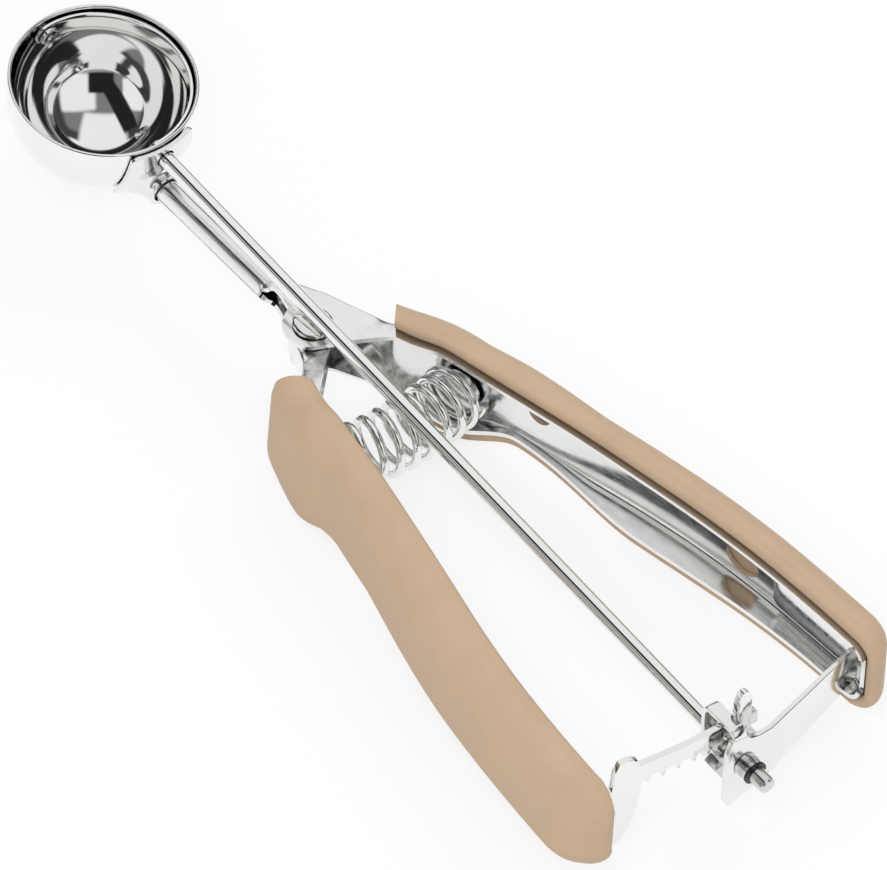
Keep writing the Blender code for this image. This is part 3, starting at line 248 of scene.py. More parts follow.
# The bowl
# A half-round stainless bowl with a short straight collar, spun from 0.7 mm sheet and polished to a
# mirror. Its rim is only rounded over. The rod enters through a hole in its rear wall.
BOWL_RADIUS = 0.0180
BOWL_WALL = 0.0007
CLEARANCE = 0.0003
ROD_RADIUS = 0.0016
RIVET_RADIUS = 0.0009
ROD_HOLE = (0.012, 0.022)  # from and to, along the rod
RIVET_HOLE = (-0.022, -0.012)
MERGED = 0.000002  # points nearer than this become one


def weave(work, rows, around=False):
    """Adds faces through rows of points; around closes each row on itself."""
    grid = [[work.verts.new(point) for point in row] for row in rows]
    count = len(grid[0])
    for first, second in zip(grid, grid[1:]):
        for index in range(count if around else count - 1):
            after = (index + 1) % count
            work.faces.new((first[index], first[after], second[after], second[index]))
    return grid


def written(work, mesh):
    work.to_mesh(mesh)
    work.free()
    return mesh


def skin(name, rows, around=False):
    """A surface through rows of points."""
    work = bmesh.new()
    weave(work, rows, around)
    return written(work, bpy.data.meshes.new(name))


def close_up(mesh):
    """Merges the poles of a closed shape and turns its faces outward."""
    work = bmesh.new()
    work.from_mesh(mesh)
    bmesh.ops.remove_doubles(work, verts=work.verts, dist=MERGED)
    work.normal_update()
    bmesh.ops.recalc_face_normals(work, faces=work.faces)
    return written(work, mesh)


def circle(steps):
    """The cosine and the sine of angles all round."""
    return [(cos(2 * pi * index / steps), sin(2 * pi * index / steps)) for index in range(steps)]


def round_points(*degrees):
    """The cosine and the sine of each angle."""
    return [(cos(radians(one)), sin(radians(one))) for one in degrees]


def lathe(name, profile, steps, along="Z"):
    """A closed turned shape from (radius, height) points that start and end on the axis."""
    rows = [[(radius * c, radius * s, height) for c, s in circle(steps)] for radius, height in profile]
    if along == "X":
        rows = [[(z, x, y) for x, y, z in row] for row in rows]
    return close_up(skin(name, rows, True))


def place(name, mesh, at):
    """An object whose place is in its mesh."""
    mesh.transform(at)
    return add_object(name, mesh)


def lathed(name, profile, steps, at, along="X"):
    return place(name, lathe(name, profile, steps, along), at)


def sheet_metal(piece, thickness, offset, edge=0.0):
    step = piece.modifiers.new("sheet", "SOLIDIFY")
    step.thickness = thickness
    step.offset = offset
    step.use_even_offset = True
    if edge:
        soften(piece, edge)


def soften(piece, width):
    step = piece.modifiers.new("edges", "BEVEL")
    step.width = width
    step.segments = 2
    step.limit_method = "ANGLE"
    step.angle_limit = radians(50)
    step.use_clamp_overlap = True


def smooth_over(piece, levels):
    step = piece.modifiers.new("smooth", "SUBSURF")
    step.levels = levels
    step.render_levels = levels


def cut(piece, mesh, at):
    """Cuts the shape of a mesh, given in the frame at, out of the piece."""
    tool = place(f"{piece.name}_cutter", mesh, at)
    step = piece.modifiers.new("cut", "BOOLEAN")
    step.operation = "DIFFERENCE"
    step.object = tool
    bake(piece)
    bpy.data.objects.remove(tool, do_unlink=True)


def drill(piece, radius, start, end, at, along="X"):
    """Cuts a round hole, from start to end along an axis of the frame at."""
    profile = [(0, start), (radius, start), (radius, end), (0, end)]
    cut(piece, lathe("drill", profile, 48, along), at)


def bake(piece):
    """Turns the piece with its modifiers into a plain mesh."""
    bpy.context.view_layer.update()
    shape = piece.evaluated_get(bpy.context.evaluated_depsgraph_get())
    mesh = bpy.data.meshes.new_from_object(shape)
    piece.modifiers.clear()
    piece.data = mesh


def finish(piece, material, body, *nodes, sharp=38):
    bake(piece)
    mesh = piece.data
    mesh.materials.clear()
    mesh.materials.append(material)
    mesh.shade_smooth()
    mesh.set_sharp_from_angle(angle=radians(sharp))
    if body:
        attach(piece, body)
    if nodes:
        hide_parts(*nodes)


def two_tones(tree, value, low, dark, high, light):
    """A ramp from one colour to another."""
    ramp = add_node(tree, "ShaderNodeValToRGB", {0: value})
    for stop, position, colour in zip(ramp.color_ramp.elements, (low, high), (dark, light)):
        stop.position = position
        stop.color = (*colour, 1)
    return ramp


def steel_finish(name, colour, roughness, grain=(1, 1, 1), wave=0.00002, scratch=0.0000015):
    """Polished stainless steel: a slow waviness, fine polishing lines and a little uneven gloss."""
    made, tree, shader = new_material(name)
    spot = add_node(tree, "ShaderNodeTexCoord").outputs["Object"]
    stretch = add_node(tree, "ShaderNodeMapping", {"Vector": spot, "Scale": grain})
    lines = add_node(tree, "ShaderNodeTexNoise", {"Vector": stretch, "Scale": 1400, "Detail": 4})
    slow = add_node(tree, "ShaderNodeTexNoise", {"Vector": spot, "Scale": 55, "Detail": 1})
    gloss = add_node(tree, "ShaderNodeMapRange", {0: lines, "From Min": 0.35, "From Max": 0.75,
                                                  "To Min": roughness * 0.7, "To Max": roughness * 1.6})
    tone = two_tones(tree, slow, 0.3, [c * 0.94 for c in colour], 0.7, colour)
    waves = add_node(tree, "ShaderNodeBump", {"Height": slow, "Distance": wave, "Strength": 1.0})
    scratches = add_node(tree, "ShaderNodeBump", {"Height": lines, "Normal": waves,
                                                  "Distance": scratch, "Strength": 1.0})
    feed(tree, shader, {"Base Color": tone, "Metallic": 1.0, "Roughness": gloss, "Normal": scratches})
    return made


def make_bowl():
    inside = BOWL_RADIUS - BOWL_WALL
    half = BOWL_WALL / 2
    quarter = 40
    angles = [radians(90) * (1 - index / quarter) for index in range(quarter + 1)]
    profile = [(inside * cos(a), -inside * sin(a)) for a in angles]
    profile += [(inside, BOWL_COLLAR * share) for share in (0.3, 0.6)]
    profile += [(inside + half + half * c, BOWL_COLLAR - half + half * s)
                for c, s in round_points(180, 150, 120, 90, 60, 30, 0)]
    profile += [(BOWL_RADIUS, BOWL_COLLAR * share) for share in (0.6, 0.3)]
    profile += [(BOWL_RADIUS * cos(a), -BOWL_RADIUS * sin(a)) for a in angles[::-1]]
    piece = lathed("bowl_polished", profile, 144, AT_BOWL, "Z")
    drill(piece, ROD_RADIUS + CLEARANCE, *ROD_HOLE, AT_BOWL)
    drill(piece, RIVET_RADIUS + CLEARANCE, *RIVET_HOLE, AT_BOWL)
    mirror = steel_finish("bowl_mirror", (0.93, 0.93, 0.92), 0.045, (0.15, 0.15, 1.0), 0.000012, 0.000001)
    finish(piece, mirror, "fixed_handle", "bowl")


make_bowl()


# The scraper and its front rivet
# A half hoop of springy steel strip, 0.5 mm thick, that turns inside the bowl. A small shouldered
# rivet in the bowl's front wall is its pivot there, and the end of the rod carries it at the rear.
SCRAPER_THICKNESS = 0.0005
SCRAPER_WIDTH = 0.0048
SCRAPER_TAB = 0.0024
SCRAPER_EDGE = 0.00012
SCRAPER_HOLES = ((-0.019, -0.013), (0.013, 0.019))
RIVET_HEAD_RADIUS = 0.0019
RIVET_HEAD_HEIGHT = 0.0007
RIVET_DIMPLE = 0.0007


def scraper_radius():
    inside = BOWL_RADIUS - BOWL_WALL
    return sqrt((inside - CLEARANCE) ** 2 - (SCRAPER_WIDTH / 2) ** 2)


def make_scraper():
    middle_radius = scraper_radius() - SCRAPER_THICKNESS / 2
    half = SCRAPER_WIDTH / 2
    tab = [(SCRAPER_TAB * s, half * c) for c, s in round_points(85, 70, 55, 40, 25, 10)]
    line = [(-middle_radius, -down, reach) for down, reach in tab]
    for index in range(73):
        angle = pi - pi * index / 72
        line.append((middle_radius * cos(angle), middle_radius * sin(angle), half))
    line += [(middle_radius, -down, reach) for down, reach in tab[::-1]]
    rows = [[(x, y, -reach * (1 - 2 * share)) for share in (0, 0.25, 0.5, 0.75, 1)] for x, y, reach in line]
    piece = place("scraper_strip", skin("scraper_strip", rows), AT_BOWL)
    sheet_metal(piece, SCRAPER_THICKNESS, 0.0, SCRAPER_EDGE)
    bake(piece)
    for start, end in SCRAPER_HOLES:
        drill(piece, RIVET_RADIUS + CLEARANCE, start, end, AT_BOWL)
    polish = steel_finish("scraper_strip", (0.92, 0.92, 0.91), 0.06, (0.3, 0.3, 1.0))
    finish(piece, polish, "rod", "scraper")


make_scraper()


def make_front_rivet():
    outer = BOWL_RADIUS + CLEARANCE
    inner = scraper_radius() - SCRAPER_THICKNESS - CLEARANCE
    end = inner - RIVET_HEAD_HEIGHT
    dimple = RIVET_DIMPLE
    profile = [(0, -end - dimple * 0.6), (dimple * 0.7, -end - dimple * 0.5), (dimple, -end),
               (RIVET_HEAD_RADIUS * 0.8, -end)]
    profile += [(RIVET_HEAD_RADIUS * (0.8 + 0.2 * s), -end - RIVET_HEAD_HEIGHT * 0.4 * (1 - c))
                for c, s in round_points(30, 60, 90)]
    profile += [(RIVET_HEAD_RADIUS, -inner), (RIVET_RADIUS, -inner), (RIVET_RADIUS, -outer),
                (RIVET_HEAD_RADIUS, -outer)]
    profile += [(RIVET_HEAD_RADIUS * c, -outer - RIVET_HEAD_HEIGHT * s)
                for c, s in round_points(*range(10, 91, 10))]
    piece = lathed("front_rivet_head", profile, 40, AT_BOWL)
    finish(piece, steel_finish("front_rivet_head", (0.82, 0.82, 0.81), 0.09), "fixed_handle", "front_rivet")


make_front_rivet()


# The saddle
# A pressed steel patch, spot-welded on the bowl's outside under the rod. It is drawn out into a
# short socket that is crimped on the neck.
NECK_RADIUS = 0.0025
NECK_HEIGHT = 0.0022
SADDLE_THICKNESS = 0.0008
SADDLE_EDGE = 0.00018
SADDLE_HOLE = (0.015, 0.03)
SADDLE_HALF_TOP = radians(22)
SADDLE_HALF_BOTTOM = radians(28)
SADDLE_DROP = 0.0100
SADDLE_RIM_GAP = 0.0006
SOCKET_END = 0.0204  # from the middle of the bowl
SOCKET_FLARE = 0.0028
SOCKET_STRAIGHT = 0.0005
SADDLE_MIDDLE = 0.0160  # where the middle of the patch is measured, from the middle of the bowl
SADDLE_LEAST = 0.0002  # of patch round the socket's flare
SADDLE_LOW_CORNER = 0.0008
SADDLE_UNDER_SOCKET = 0.004
SADDLE_LOW_SIDE = -0.3  # height of a direction, under which the patch stays short
EDGE_STEP = 0.0001  # the patch's edge is found to this length
FLARE_BEGINS = 0.2  # radians of the flare that follow the neck's axis
LEAST_SQUARE = 1e-8


def make_saddle():
    surface = BOWL_RADIUS + CLEARANCE + SADDLE_THICKNESS
    tube = NECK_RADIUS + CLEARANCE + SADDLE_THICKNESS
    top = BOWL_COLLAR - SADDLE_RIM_GAP
    to_bowl = AT_BOWL.inverted()
    neck = to_bowl @ Vector((-PIVOT_TO_BOWL, 0, NECK_HEIGHT + HANDLE_PLANE))
    slope = to_bowl.to_3x3() @ Vector((1, 0, 0))

    def neck_axis(x):
        return neck.z + slope.z / slope.x * x

    centre = neck_axis(SADDLE_MIDDLE)

    def ball_radius(z):
        """Radius of the patch's ball at this height; above the rim's foot it is a cylinder."""
        return surface if z > 0 else sqrt(max(surface ** 2 - z ** 2, LEAST_SQUARE))

    def half_width(z):
        share = (top - z) / (top + SADDLE_DROP)
        angle = SADDLE_HALF_TOP + (SADDLE_HALF_BOTTOM - SADDLE_HALF_TOP) * min(max(share, 0), 1)
        return ball_radius(z) * sin(angle)

    def edge_reach(side, up):
        """How far the patch reaches from the socket's axis, this way."""
        least = tube + SOCKET_FLARE + SADDLE_LEAST
        reach = least
        for step in range(400):
            tried = EDGE_STEP * step
            y, z = side * tried, centre + up * tried
            if z > top or z < -SADDLE_DROP - SADDLE_LOW_CORNER or abs(y) > half_width(min(z, top)):
                break
            reach = max(least, tried if up > SADDLE_LOW_SIDE else min(tried, least + SADDLE_UNDER_SOCKET))
        return reach

    rows = []
    lift = SOCKET_END - SOCKET_STRAIGHT
    rings = [("tube", 0.0), ("tube", SOCKET_STRAIGHT)]
    rings += [("flare", radians(a)) for a in (6, 15, 26, 38, 50, 62, 74, 84, 90)]
    rings += [("patch", share) for share in (0.12, 0.3, 0.5, 0.7, 0.88, 1.0)]
    for kind, value in rings:
        row = []
        for side, up in circle(96):
            if kind == "tube":
                x = SOCKET_END - value
                row.append((x, tube * side, neck_axis(x) + tube * up))
                continue
            out = tube + SOCKET_FLARE * (1 - cos(value) if kind == "flare" else 1)
            if kind == "patch":
                out += (edge_reach(side, up) - out) * value
            y = out * side
            z = (neck_axis(lift) if kind == "flare" and value < FLARE_BEGINS else centre) + out * up
            x = sqrt(max(ball_radius(z) ** 2 - y ** 2, LEAST_SQUARE))
            if kind == "flare":
                x += (lift - x) * (1 - sin(value))
                z = neck_axis(x) + out * up
            row.append((x, y, z))
        rows.append(row)
    piece = place("saddle_pressing", skin("saddle_pressing", rows, True), AT_BOWL)
    piece.data.flip_normals()
    sheet_metal(piece, SADDLE_THICKNESS, -1.0, SADDLE_EDGE)
    bake(piece)
    drill(piece, ROD_RADIUS + CLEARANCE, *SADDLE_HOLE, AT_BOWL)
    satin = steel_finish("saddle_satin", (0.86, 0.86, 0.85), 0.16, (1.0, 0.2, 1.0), 0.00002, 0.000002)
    finish(piece, satin, "fixed_handle", "saddle")


make_saddle()


# The fixed handle
# One blank of 0.9 mm stainless: rolled into a tube for the neck, opened out at the throat, and
# folded into a U-shaped channel, with two ears for the pivot and a pocket for the spring.
STEEL = 0.0009
NECK_FLARES_AT = -0.0210
NECK_MOUTH_AT = -0.0128
# The inside of the neck tube is painted near black up to this far past its mouth: painted shade
PAINTED_SHADE_PAST_MOUTH = 0.0026
SEAM_HALF_ANGLE = radians(6)
EAR_RADIUS = 0.0059
LOWER_EAR_RADIUS = 0.0043
EAR_HALF_HEIGHT = 0.0044
PIVOT_RADIUS = 0.0015
FRAME_SPREAD = radians(9.05)
LEVER_SPREAD = radians(9.65)
GRIP_WALL = 0.0026
GRIP_LIP = 0.0005
# Side of each grip: u along the handle, v of its back and v of its mouth
FRAME_LINE = (
    (0.0085, 0.0125, 0.0072), (0.0170, 0.0157, 0.0086), (0.0270, 0.0172, 0.0094),
    (0.0400, 0.0178, 0.0104), (0.0550, 0.0190, 0.0116), (0.0700, 0.0204, 0.0123),
    (0.0840, 0.0211, 0.0127), (0.0980, 0.0208, 0.0125), (0.1120, 0.0197, 0.0115),
    (0.1260, 0.0183, 0.0100),
)
LEVER_LINE = (
    (0.0085, 0.0142, 0.0082), (0.0170, 0.0160, 0.0091), (0.0270, 0.0173, 0.0093),
    (0.0400, 0.0170, 0.0092), (0.0550, 0.0185, 0.0096), (0.0700, 0.0201, 0.0102),
    (0.0840, 0.0210, 0.0109), (0.0980, 0.0208, 0.0110), (0.1120, 0.0200, 0.0103),
    (0.1260, 0.0188, 0.0091),
)
GRIP_END = 0.1318
END_HEIGHT_RADIUS = 0.0065
NOSE_DROP = 0.15
NOSE_EDGE = 0.0008
GRIP_TOP = 0.0117
GRIP_BOTTOM = -0.0096
GRIP_START_DROP = 0.0018
GRIP_START_RISE = 0.0170
GRIP_START_SLANT = 0.80
GRIP_START_REACH = 0.0180
GRIP_CORNER = 0.0065
LOW_CORNER = 0.0055
POCKET_CORNER = 0.0042
SHARPEST_CORNER = 0.0003
ROUNDED_SHARE = 0.8  # of the back's depth, at most, goes into a corner
CORNER_FITS = 0.9  # of a flange, at most, goes into its corner
BULGE_LEAD = 0.004
BULGE_RISE = 0.008
GRIP_CROWN = 0.0007
CROWN_REACH = 0.010
FRAME_GRIP_START = 0.0092
LEVER_GRIP_START = 0.0108
LEVER_NOSE = 0.0016
POCKET_END = 0.0265
POCKET_STEP = 0.0140
POCKET_DROP = 0.0044
POCKET_LEAD = 0.0030
POCKET_START = 0.0060
LEVER_POCKET_BULGE = 0.0010
NARROW_FLANGE = 0.62
NARROW_RECOVERS = 0.0720
WIDE_FLANGE = 1.22
WIDE_ENDS = 0.1200
# Holes in the back of the fixed channel: place along it, half length, half height, and height
OVAL_HOLE = (0.0925, 0.0042, 0.0030, -0.0015)
ROUND_HOLE = (0.0440, 0.0026, 0.0026, 0.0030)
FRAME_GRIP = (FRAME_LINE, FRAME_GRIP_START, 0.0, 0.0)
LEVER_GRIP = (LEVER_LINE, LEVER_GRIP_START, LEVER_POCKET_BULGE, LEVER_NOSE)
OUTSIDE_STEEL = GRIP_WALL + CLEARANCE  # from a grip's surface in to the channel's
CHANNEL_TURN = radians(84)  # how far the closed end turns in
SHEET_CORNER = 0.0013
PIN_REACH = 0.02
PLUG_DEPTH = 0.004
LAST_EDGE = 0.0016
NECK_RIM = 0.0004
NECK_LIP = 0.0006
CHANNEL_POLISH = ((0.91, 0.91, 0.90), 0.18, (0.12, 1.0, 1.0), 0.00003, 0.0000015)
# Side of the fixed channel's back between throat and grip: x and y
BACK_LINE = (
    (-0.0058, 0.0071), (-0.0045, 0.0076), (-0.0025, 0.0084), (0.0, 0.0093), (0.0025, 0.0103),
    (0.0045, 0.0111), (0.0062, 0.0118),
)
# The throat, from tube to channel: how far past its mouth, the channel's share at the back and at the
# edges, and half the seam's angle
THROAT = (
    (0.0006, 0.30, 0.02, 60), (0.0014, 0.42, 0.06, 88), (0.0032, 0.62, 0.26, 92),
    (0.0054, 0.84, 0.62, 84), (0.0070, 0.94, 0.86, 60),
)


def smooth_step(value):
    value = min(1.0, max(0.0, value))
    return value * value * (3 - 2 * value)


def grip_line(line, u, which):
    """A smooth curve through the backs (1) or the mouths (2) of a grip's line."""
    u = min(max(u, line[0][0]), line[-1][0])
    index = max(i for i in range(len(line) - 1) if line[i][0] <= u)
    low, high = line[index], line[index + 1]
    before, after = line[max(index - 1, 0)], line[min(index + 2, len(line) - 1)]
    step = high[0] - low[0]
    slope_low = (high[which] - before[which]) / (high[0] - before[0]) * step
    slope_high = (after[which] - low[which]) / (after[0] - low[0]) * step
    t = (u - low[0]) / step
    return (low[which] * (2 * t ** 3 - 3 * t ** 2 + 1) + slope_low * (t ** 3 - 2 * t ** 2 + t)
            + high[which] * (3 * t ** 2 - 2 * t ** 3) + slope_high * (t ** 3 - t ** 2))


def in_pocket(u):
    return 1 - smooth_step((u - POCKET_END) / POCKET_STEP)


def lower_flange_share(u):
    """The lower flange is full in the pocket, narrow just past it, and wide near the middle."""
    past = POCKET_END + POCKET_STEP
    if u < past:
        return 1 - (1 - NARROW_FLANGE) * (1 - in_pocket(u))
    if u < NARROW_RECOVERS:
        grown = smooth_step((u - past) / (NARROW_RECOVERS - past))
        return NARROW_FLANGE + (WIDE_FLANGE - NARROW_FLANGE) * grown
    shrunk = smooth_step((u - NARROW_RECOVERS) / (WIDE_ENDS - NARROW_RECOVERS))
    return WIDE_FLANGE + (1 - WIDE_FLANGE) * shrunk


def rounded(distance, radius):
    """How far a corner of this radius has dropped, this far past where it starts."""
    if distance <= 0:
        return 0.0
    return radius - sqrt(max(0.0, radius ** 2 - min(distance, radius) ** 2))


def grip_stations(line, start, bulge, nose, inset, lip, final, fine):
    """Cross sections of a grip, from its start to its closed end, this far inside its surface."""
    end_depth = grip_line(line, GRIP_END, 1) - grip_line(line, GRIP_END, 2)
    turn_in = GRIP_END - end_depth
    close = POCKET_END + POCKET_STEP
    near, far, corner = 18 * fine, 10 * fine, 6 * fine
    straight = [start + (close - start) * index / near for index in range(near)]
    straight += [close + (turn_in - close) * index / far for index in range(far + 1)]
    if nose:
        straight[1:1] = [start + nose * share for share in (0.05, 0.20)]
        straight.sort()
    radius = end_depth - inset
    places = [(u, 0.0) for u in straight]
    for index in range(1, corner + 1):
        angle = final * index / corner
        places.append((turn_in + radius * sin(angle), radius * (1 - cos(angle))))
    found = []
    for u, turned_in in places:
        rise = smooth_step((u - start) / GRIP_START_RISE)
        deepened = smooth_step((u - start + POCKET_LEAD) / POCKET_START)
        nose_radius = max(nose - inset, SHARPEST_CORNER)
        nose_drop = min(rounded(start + nose - u, nose_radius), nose - NOSE_EDGE) if nose else 0.0
        widening = bulge * in_pocket(u) * smooth_step((u - start + BULGE_LEAD) / BULGE_RISE)
        back = grip_line(line, u, 1) + widening - nose_drop
        mouth = grip_line(line, u, 2)
        low_mouth = back - (back - mouth) * lower_flange_share(u)
        outer_turn = turned_in * end_depth / radius
        past_full = u - (GRIP_END - END_HEIGHT_RADIUS)
        drop = nose_drop * NOSE_DROP + rounded(past_full, END_HEIGHT_RADIUS - inset)
        found.append({
            "u": u,
            "back": back - inset - turned_in,
            "mouth": mouth - lip,
            "low_mouth": low_mouth - lip,
            "top": GRIP_TOP - inset - drop - GRIP_START_DROP * (1 - rise),
            "bottom": GRIP_BOTTOM + inset + drop - POCKET_DROP * in_pocket(u) * deepened,
            "slant": GRIP_START_SLANT * (1 - smooth_step((u - start) / GRIP_START_REACH)),
            "inset": inset,
            "room": ROUNDED_SHARE * (back - max(mouth, low_mouth) - outer_turn),
        })
    return found


def on_handle(spread, side, u, v, height):
    """A point on a handle, from its place along (u) and across (v) the handle."""
    return (u * cos(spread) - v * sin(spread), side * (u * sin(spread) + v * cos(spread)), height)


def section(station, spread, side, arc=(90, 60, 30, 0), shorter=0.0):
    """Points of one cross section, from the upper edge round the back to the lower edge."""
    back, upper, lower = station["back"], station["top"], station["bottom"]
    top_edge = (back - station["mouth"]) - shorter
    low_edge = (back - station["low_mouth"]) - shorter
    radius = max(min(GRIP_CORNER, station["room"]) - station["inset"], SHARPEST_CORNER)
    low_corner = LOW_CORNER + (POCKET_CORNER - LOW_CORNER) * in_pocket(station["u"])
    low_radius = max(min(low_corner, station["room"]) - station["inset"], SHARPEST_CORNER)
    if shorter > 0:
        radius, low_radius = min(radius, CORNER_FITS * top_edge), min(low_radius, CORNER_FITS * low_edge)

    def point(depth, height):
        u = station["u"] + station["slant"] * (depth + station["inset"])
        return on_handle(spread, side, u, back - depth, height)

    def crown(depth):
        return GRIP_CROWN * (depth / CROWN_REACH) ** 2

    tops, lows = (top_edge, (top_edge + radius) / 2), ((low_edge + low_radius) / 2, low_edge)
    points = [point(depth, upper - crown(depth)) for depth in tops]
    points += [point(radius - radius * c, upper - radius + radius * s) for c, s in round_points(*arc)]
    points.append(point(0, (upper + lower) / 2))
    points += [point(low_radius * (1 - c), lower + low_radius * (1 - s))
               for c, s in round_points(*arc[::-1])]
    return points + [point(depth, lower + crown(depth)) for depth in lows]


def free_section(back, edge, half_height, shorter=0.0):
    """A section of the bare channel; its lower flange may be shorter than its upper one."""
    reach = dist(back, edge)
    in_x, in_y = ((one - two) / reach for one, two in zip(edge, back))
    corner = SHEET_CORNER

    def flange(depth, sign):
        half = [(depth, half_height), ((depth + corner) / 2, half_height)]
        half += [(corner - corner * c, half_height - corner + corner * s)
                 for c, s in round_points(90, 60, 30, 0)]
        return [(back[0] + in_x * d, back[1] + in_y * d, sign * h) for d, h in half]

    return flange(reach, 1) + [(back[0], back[1], 0)] + flange(reach - shorter, -1)[::-1]


def neck_section(x, count, seam=SEAM_HALF_ANGLE):
    """The rolled tube of the neck, with its open seam towards -Y."""
    points = []
    for index in range(count):
        angle = pi - seam - (2 * pi - 2 * seam) * index / (count - 1)
        points.append((x, NECK_RADIUS * cos(angle), NECK_HEIGHT + NECK_RADIUS * sin(angle)))
    return points


def ear_edge(x, radius):
    return -sqrt(max(0.0, radius ** 2 - x ** 2))


def oval_plug(hole, spread):
    """An oval plug through the back of the fixed channel, square to it."""
    u, half_length, half_height, height = hole
    v = grip_line(FRAME_LINE, u, 1)
    rows = []
    deep = GRIP_WALL + PLUG_DEPTH
    for depth, share in ((GRIP_WALL, 0), (GRIP_WALL, 1), (deep, 1), (deep, 0)):
        rows.append([on_handle(spread, 1, u + half_length * c * share, v - depth,
                               height + half_height * s * share) for c, s in circle(48)])
    return close_up(skin("plug", rows, True))


def pressed_channel(name, mesh):
    """Sheet steel on a channel's surface, with the pivot's hole through its ears."""
    piece = place(name, mesh, AT_HANDLES)
    smooth_over(piece, 2)
    sheet_metal(piece, STEEL, -1.0)
    bake(piece)
    drill(piece, PIVOT_RADIUS + CLEARANCE, -PIN_REACH, PIN_REACH, AT_HANDLES, "Z")
    return piece


def channel_stations(grip, fine=2):
    """The channel's cross sections inside a grip."""
    return grip_stations(*grip, OUTSIDE_STEEL, GRIP_LIP, CHANNEL_TURN, fine)


def make_handle_frame():
    gripped = [section(one, FRAME_SPREAD, 1) for one in channel_stations(FRAME_GRIP)]
    bare = []
    for x, back in BACK_LINE[:-1]:
        upper = ear_edge(x, EAR_RADIUS)
        shorter = ear_edge(x, LOWER_EAR_RADIUS) - upper
        bare.append(free_section((x, back), (x, upper), EAR_HALF_HEIGHT, shorter))
    x, back = BACK_LINE[-1]
    bare.append(free_section((x, back), (x, LAST_EDGE), EAR_HALF_HEIGHT))
    count = len(bare[0])
    under_rod = rod_height(-PIVOT_TO_BOWL) - NECK_HEIGHT - NECK_RADIUS
    neck_end = sqrt((BOWL_RADIUS + 2 * CLEARANCE) ** 2 - under_rod ** 2) + 2 * CLEARANCE - PIVOT_TO_BOWL
    halfway = (NECK_FLARES_AT + neck_end) / 2
    neck = [neck_section(x, count) for x in (neck_end, neck_end + NECK_RIM, halfway, NECK_FLARES_AT,
                                             NECK_MOUTH_AT - NECK_LIP, NECK_MOUTH_AT)]
    throat = []
    for ahead, back_share, mouth_share, seam in THROAT:
        round_part = neck_section(NECK_MOUTH_AT + ahead, count, radians(seam))
        row = []
        for index, (a, (_, *b)) in enumerate(zip(round_part, bare[0])):
            share = mouth_share + (back_share - mouth_share) * sin(pi * index / (count - 1))
            row.append((a[0], *(p + (q - p) * share for p, q in zip(a[1:], b))))
        throat.append(row)
    mesh = skin("fixed_channel", neck + throat + bare + gripped)
    mesh.flip_normals()
    piece = pressed_channel("fixed_channel", mesh)
    for hole in (OVAL_HOLE, ROUND_HOLE):
        cut(piece, oval_plug(hole, FRAME_SPREAD), AT_HANDLES)
    finish(piece, steel_finish("channel_polish", *CHANNEL_POLISH), "fixed_handle", "handle_frame")
    # The inside faces of the neck tube, to a little past its mouth, get a near-black steel: painted shade
    # for the dark inside of the tube
    piece.data.materials.append(steel_finish("neck_inside_painted_shade", (0.03, 0.03, 0.03), 0.5))
    for face in piece.data.polygons:
        from_axis = Vector((0, face.center.y, face.center.z - HANDLE_PLANE - NECK_HEIGHT))
        faces_in = face.normal.dot(from_axis) < 0
        if faces_in and face.center.x < NECK_MOUTH_AT + PAINTED_SHADE_PAST_MOUTH and from_axis.length < NECK_RADIUS:
            face.material_index = 1


make_handle_frame()


# The right grip
# A moulded tan sleeve with a matte skin, 2.6 mm thick, pushed over the channel's back and round its
# end. Its edges roll over to the steel.
GRIP_TAN = (0.545, 0.392, 0.262)
FINE_ARC = (90, 78, 66, 54, 42, 30, 18, 6, 0)
EDGE_ROUND = (30, 60, 90, 120, 150)  # degrees round a grip's edge, from its outer to its inner skin
EDGE_BULGE = 0.0013
GRIP_TURN = radians(80.8)  # how far the closed end turns in


def rolled(start, end, before):
    """Five points of a half round between two edges, bulging away from the third point."""
    one, two = Vector(start), Vector(end)
    centre = (one + two) / 2
    radius = (one - two).length / 2
    out = one - Vector(before)
    axis = (one - two).normalized()
    out = (out - axis * out.dot(axis)).normalized()
    return [tuple(centre + axis * radius * c + out * min(radius, EDGE_BULGE) * s)
            for c, s in round_points(*EDGE_ROUND)]


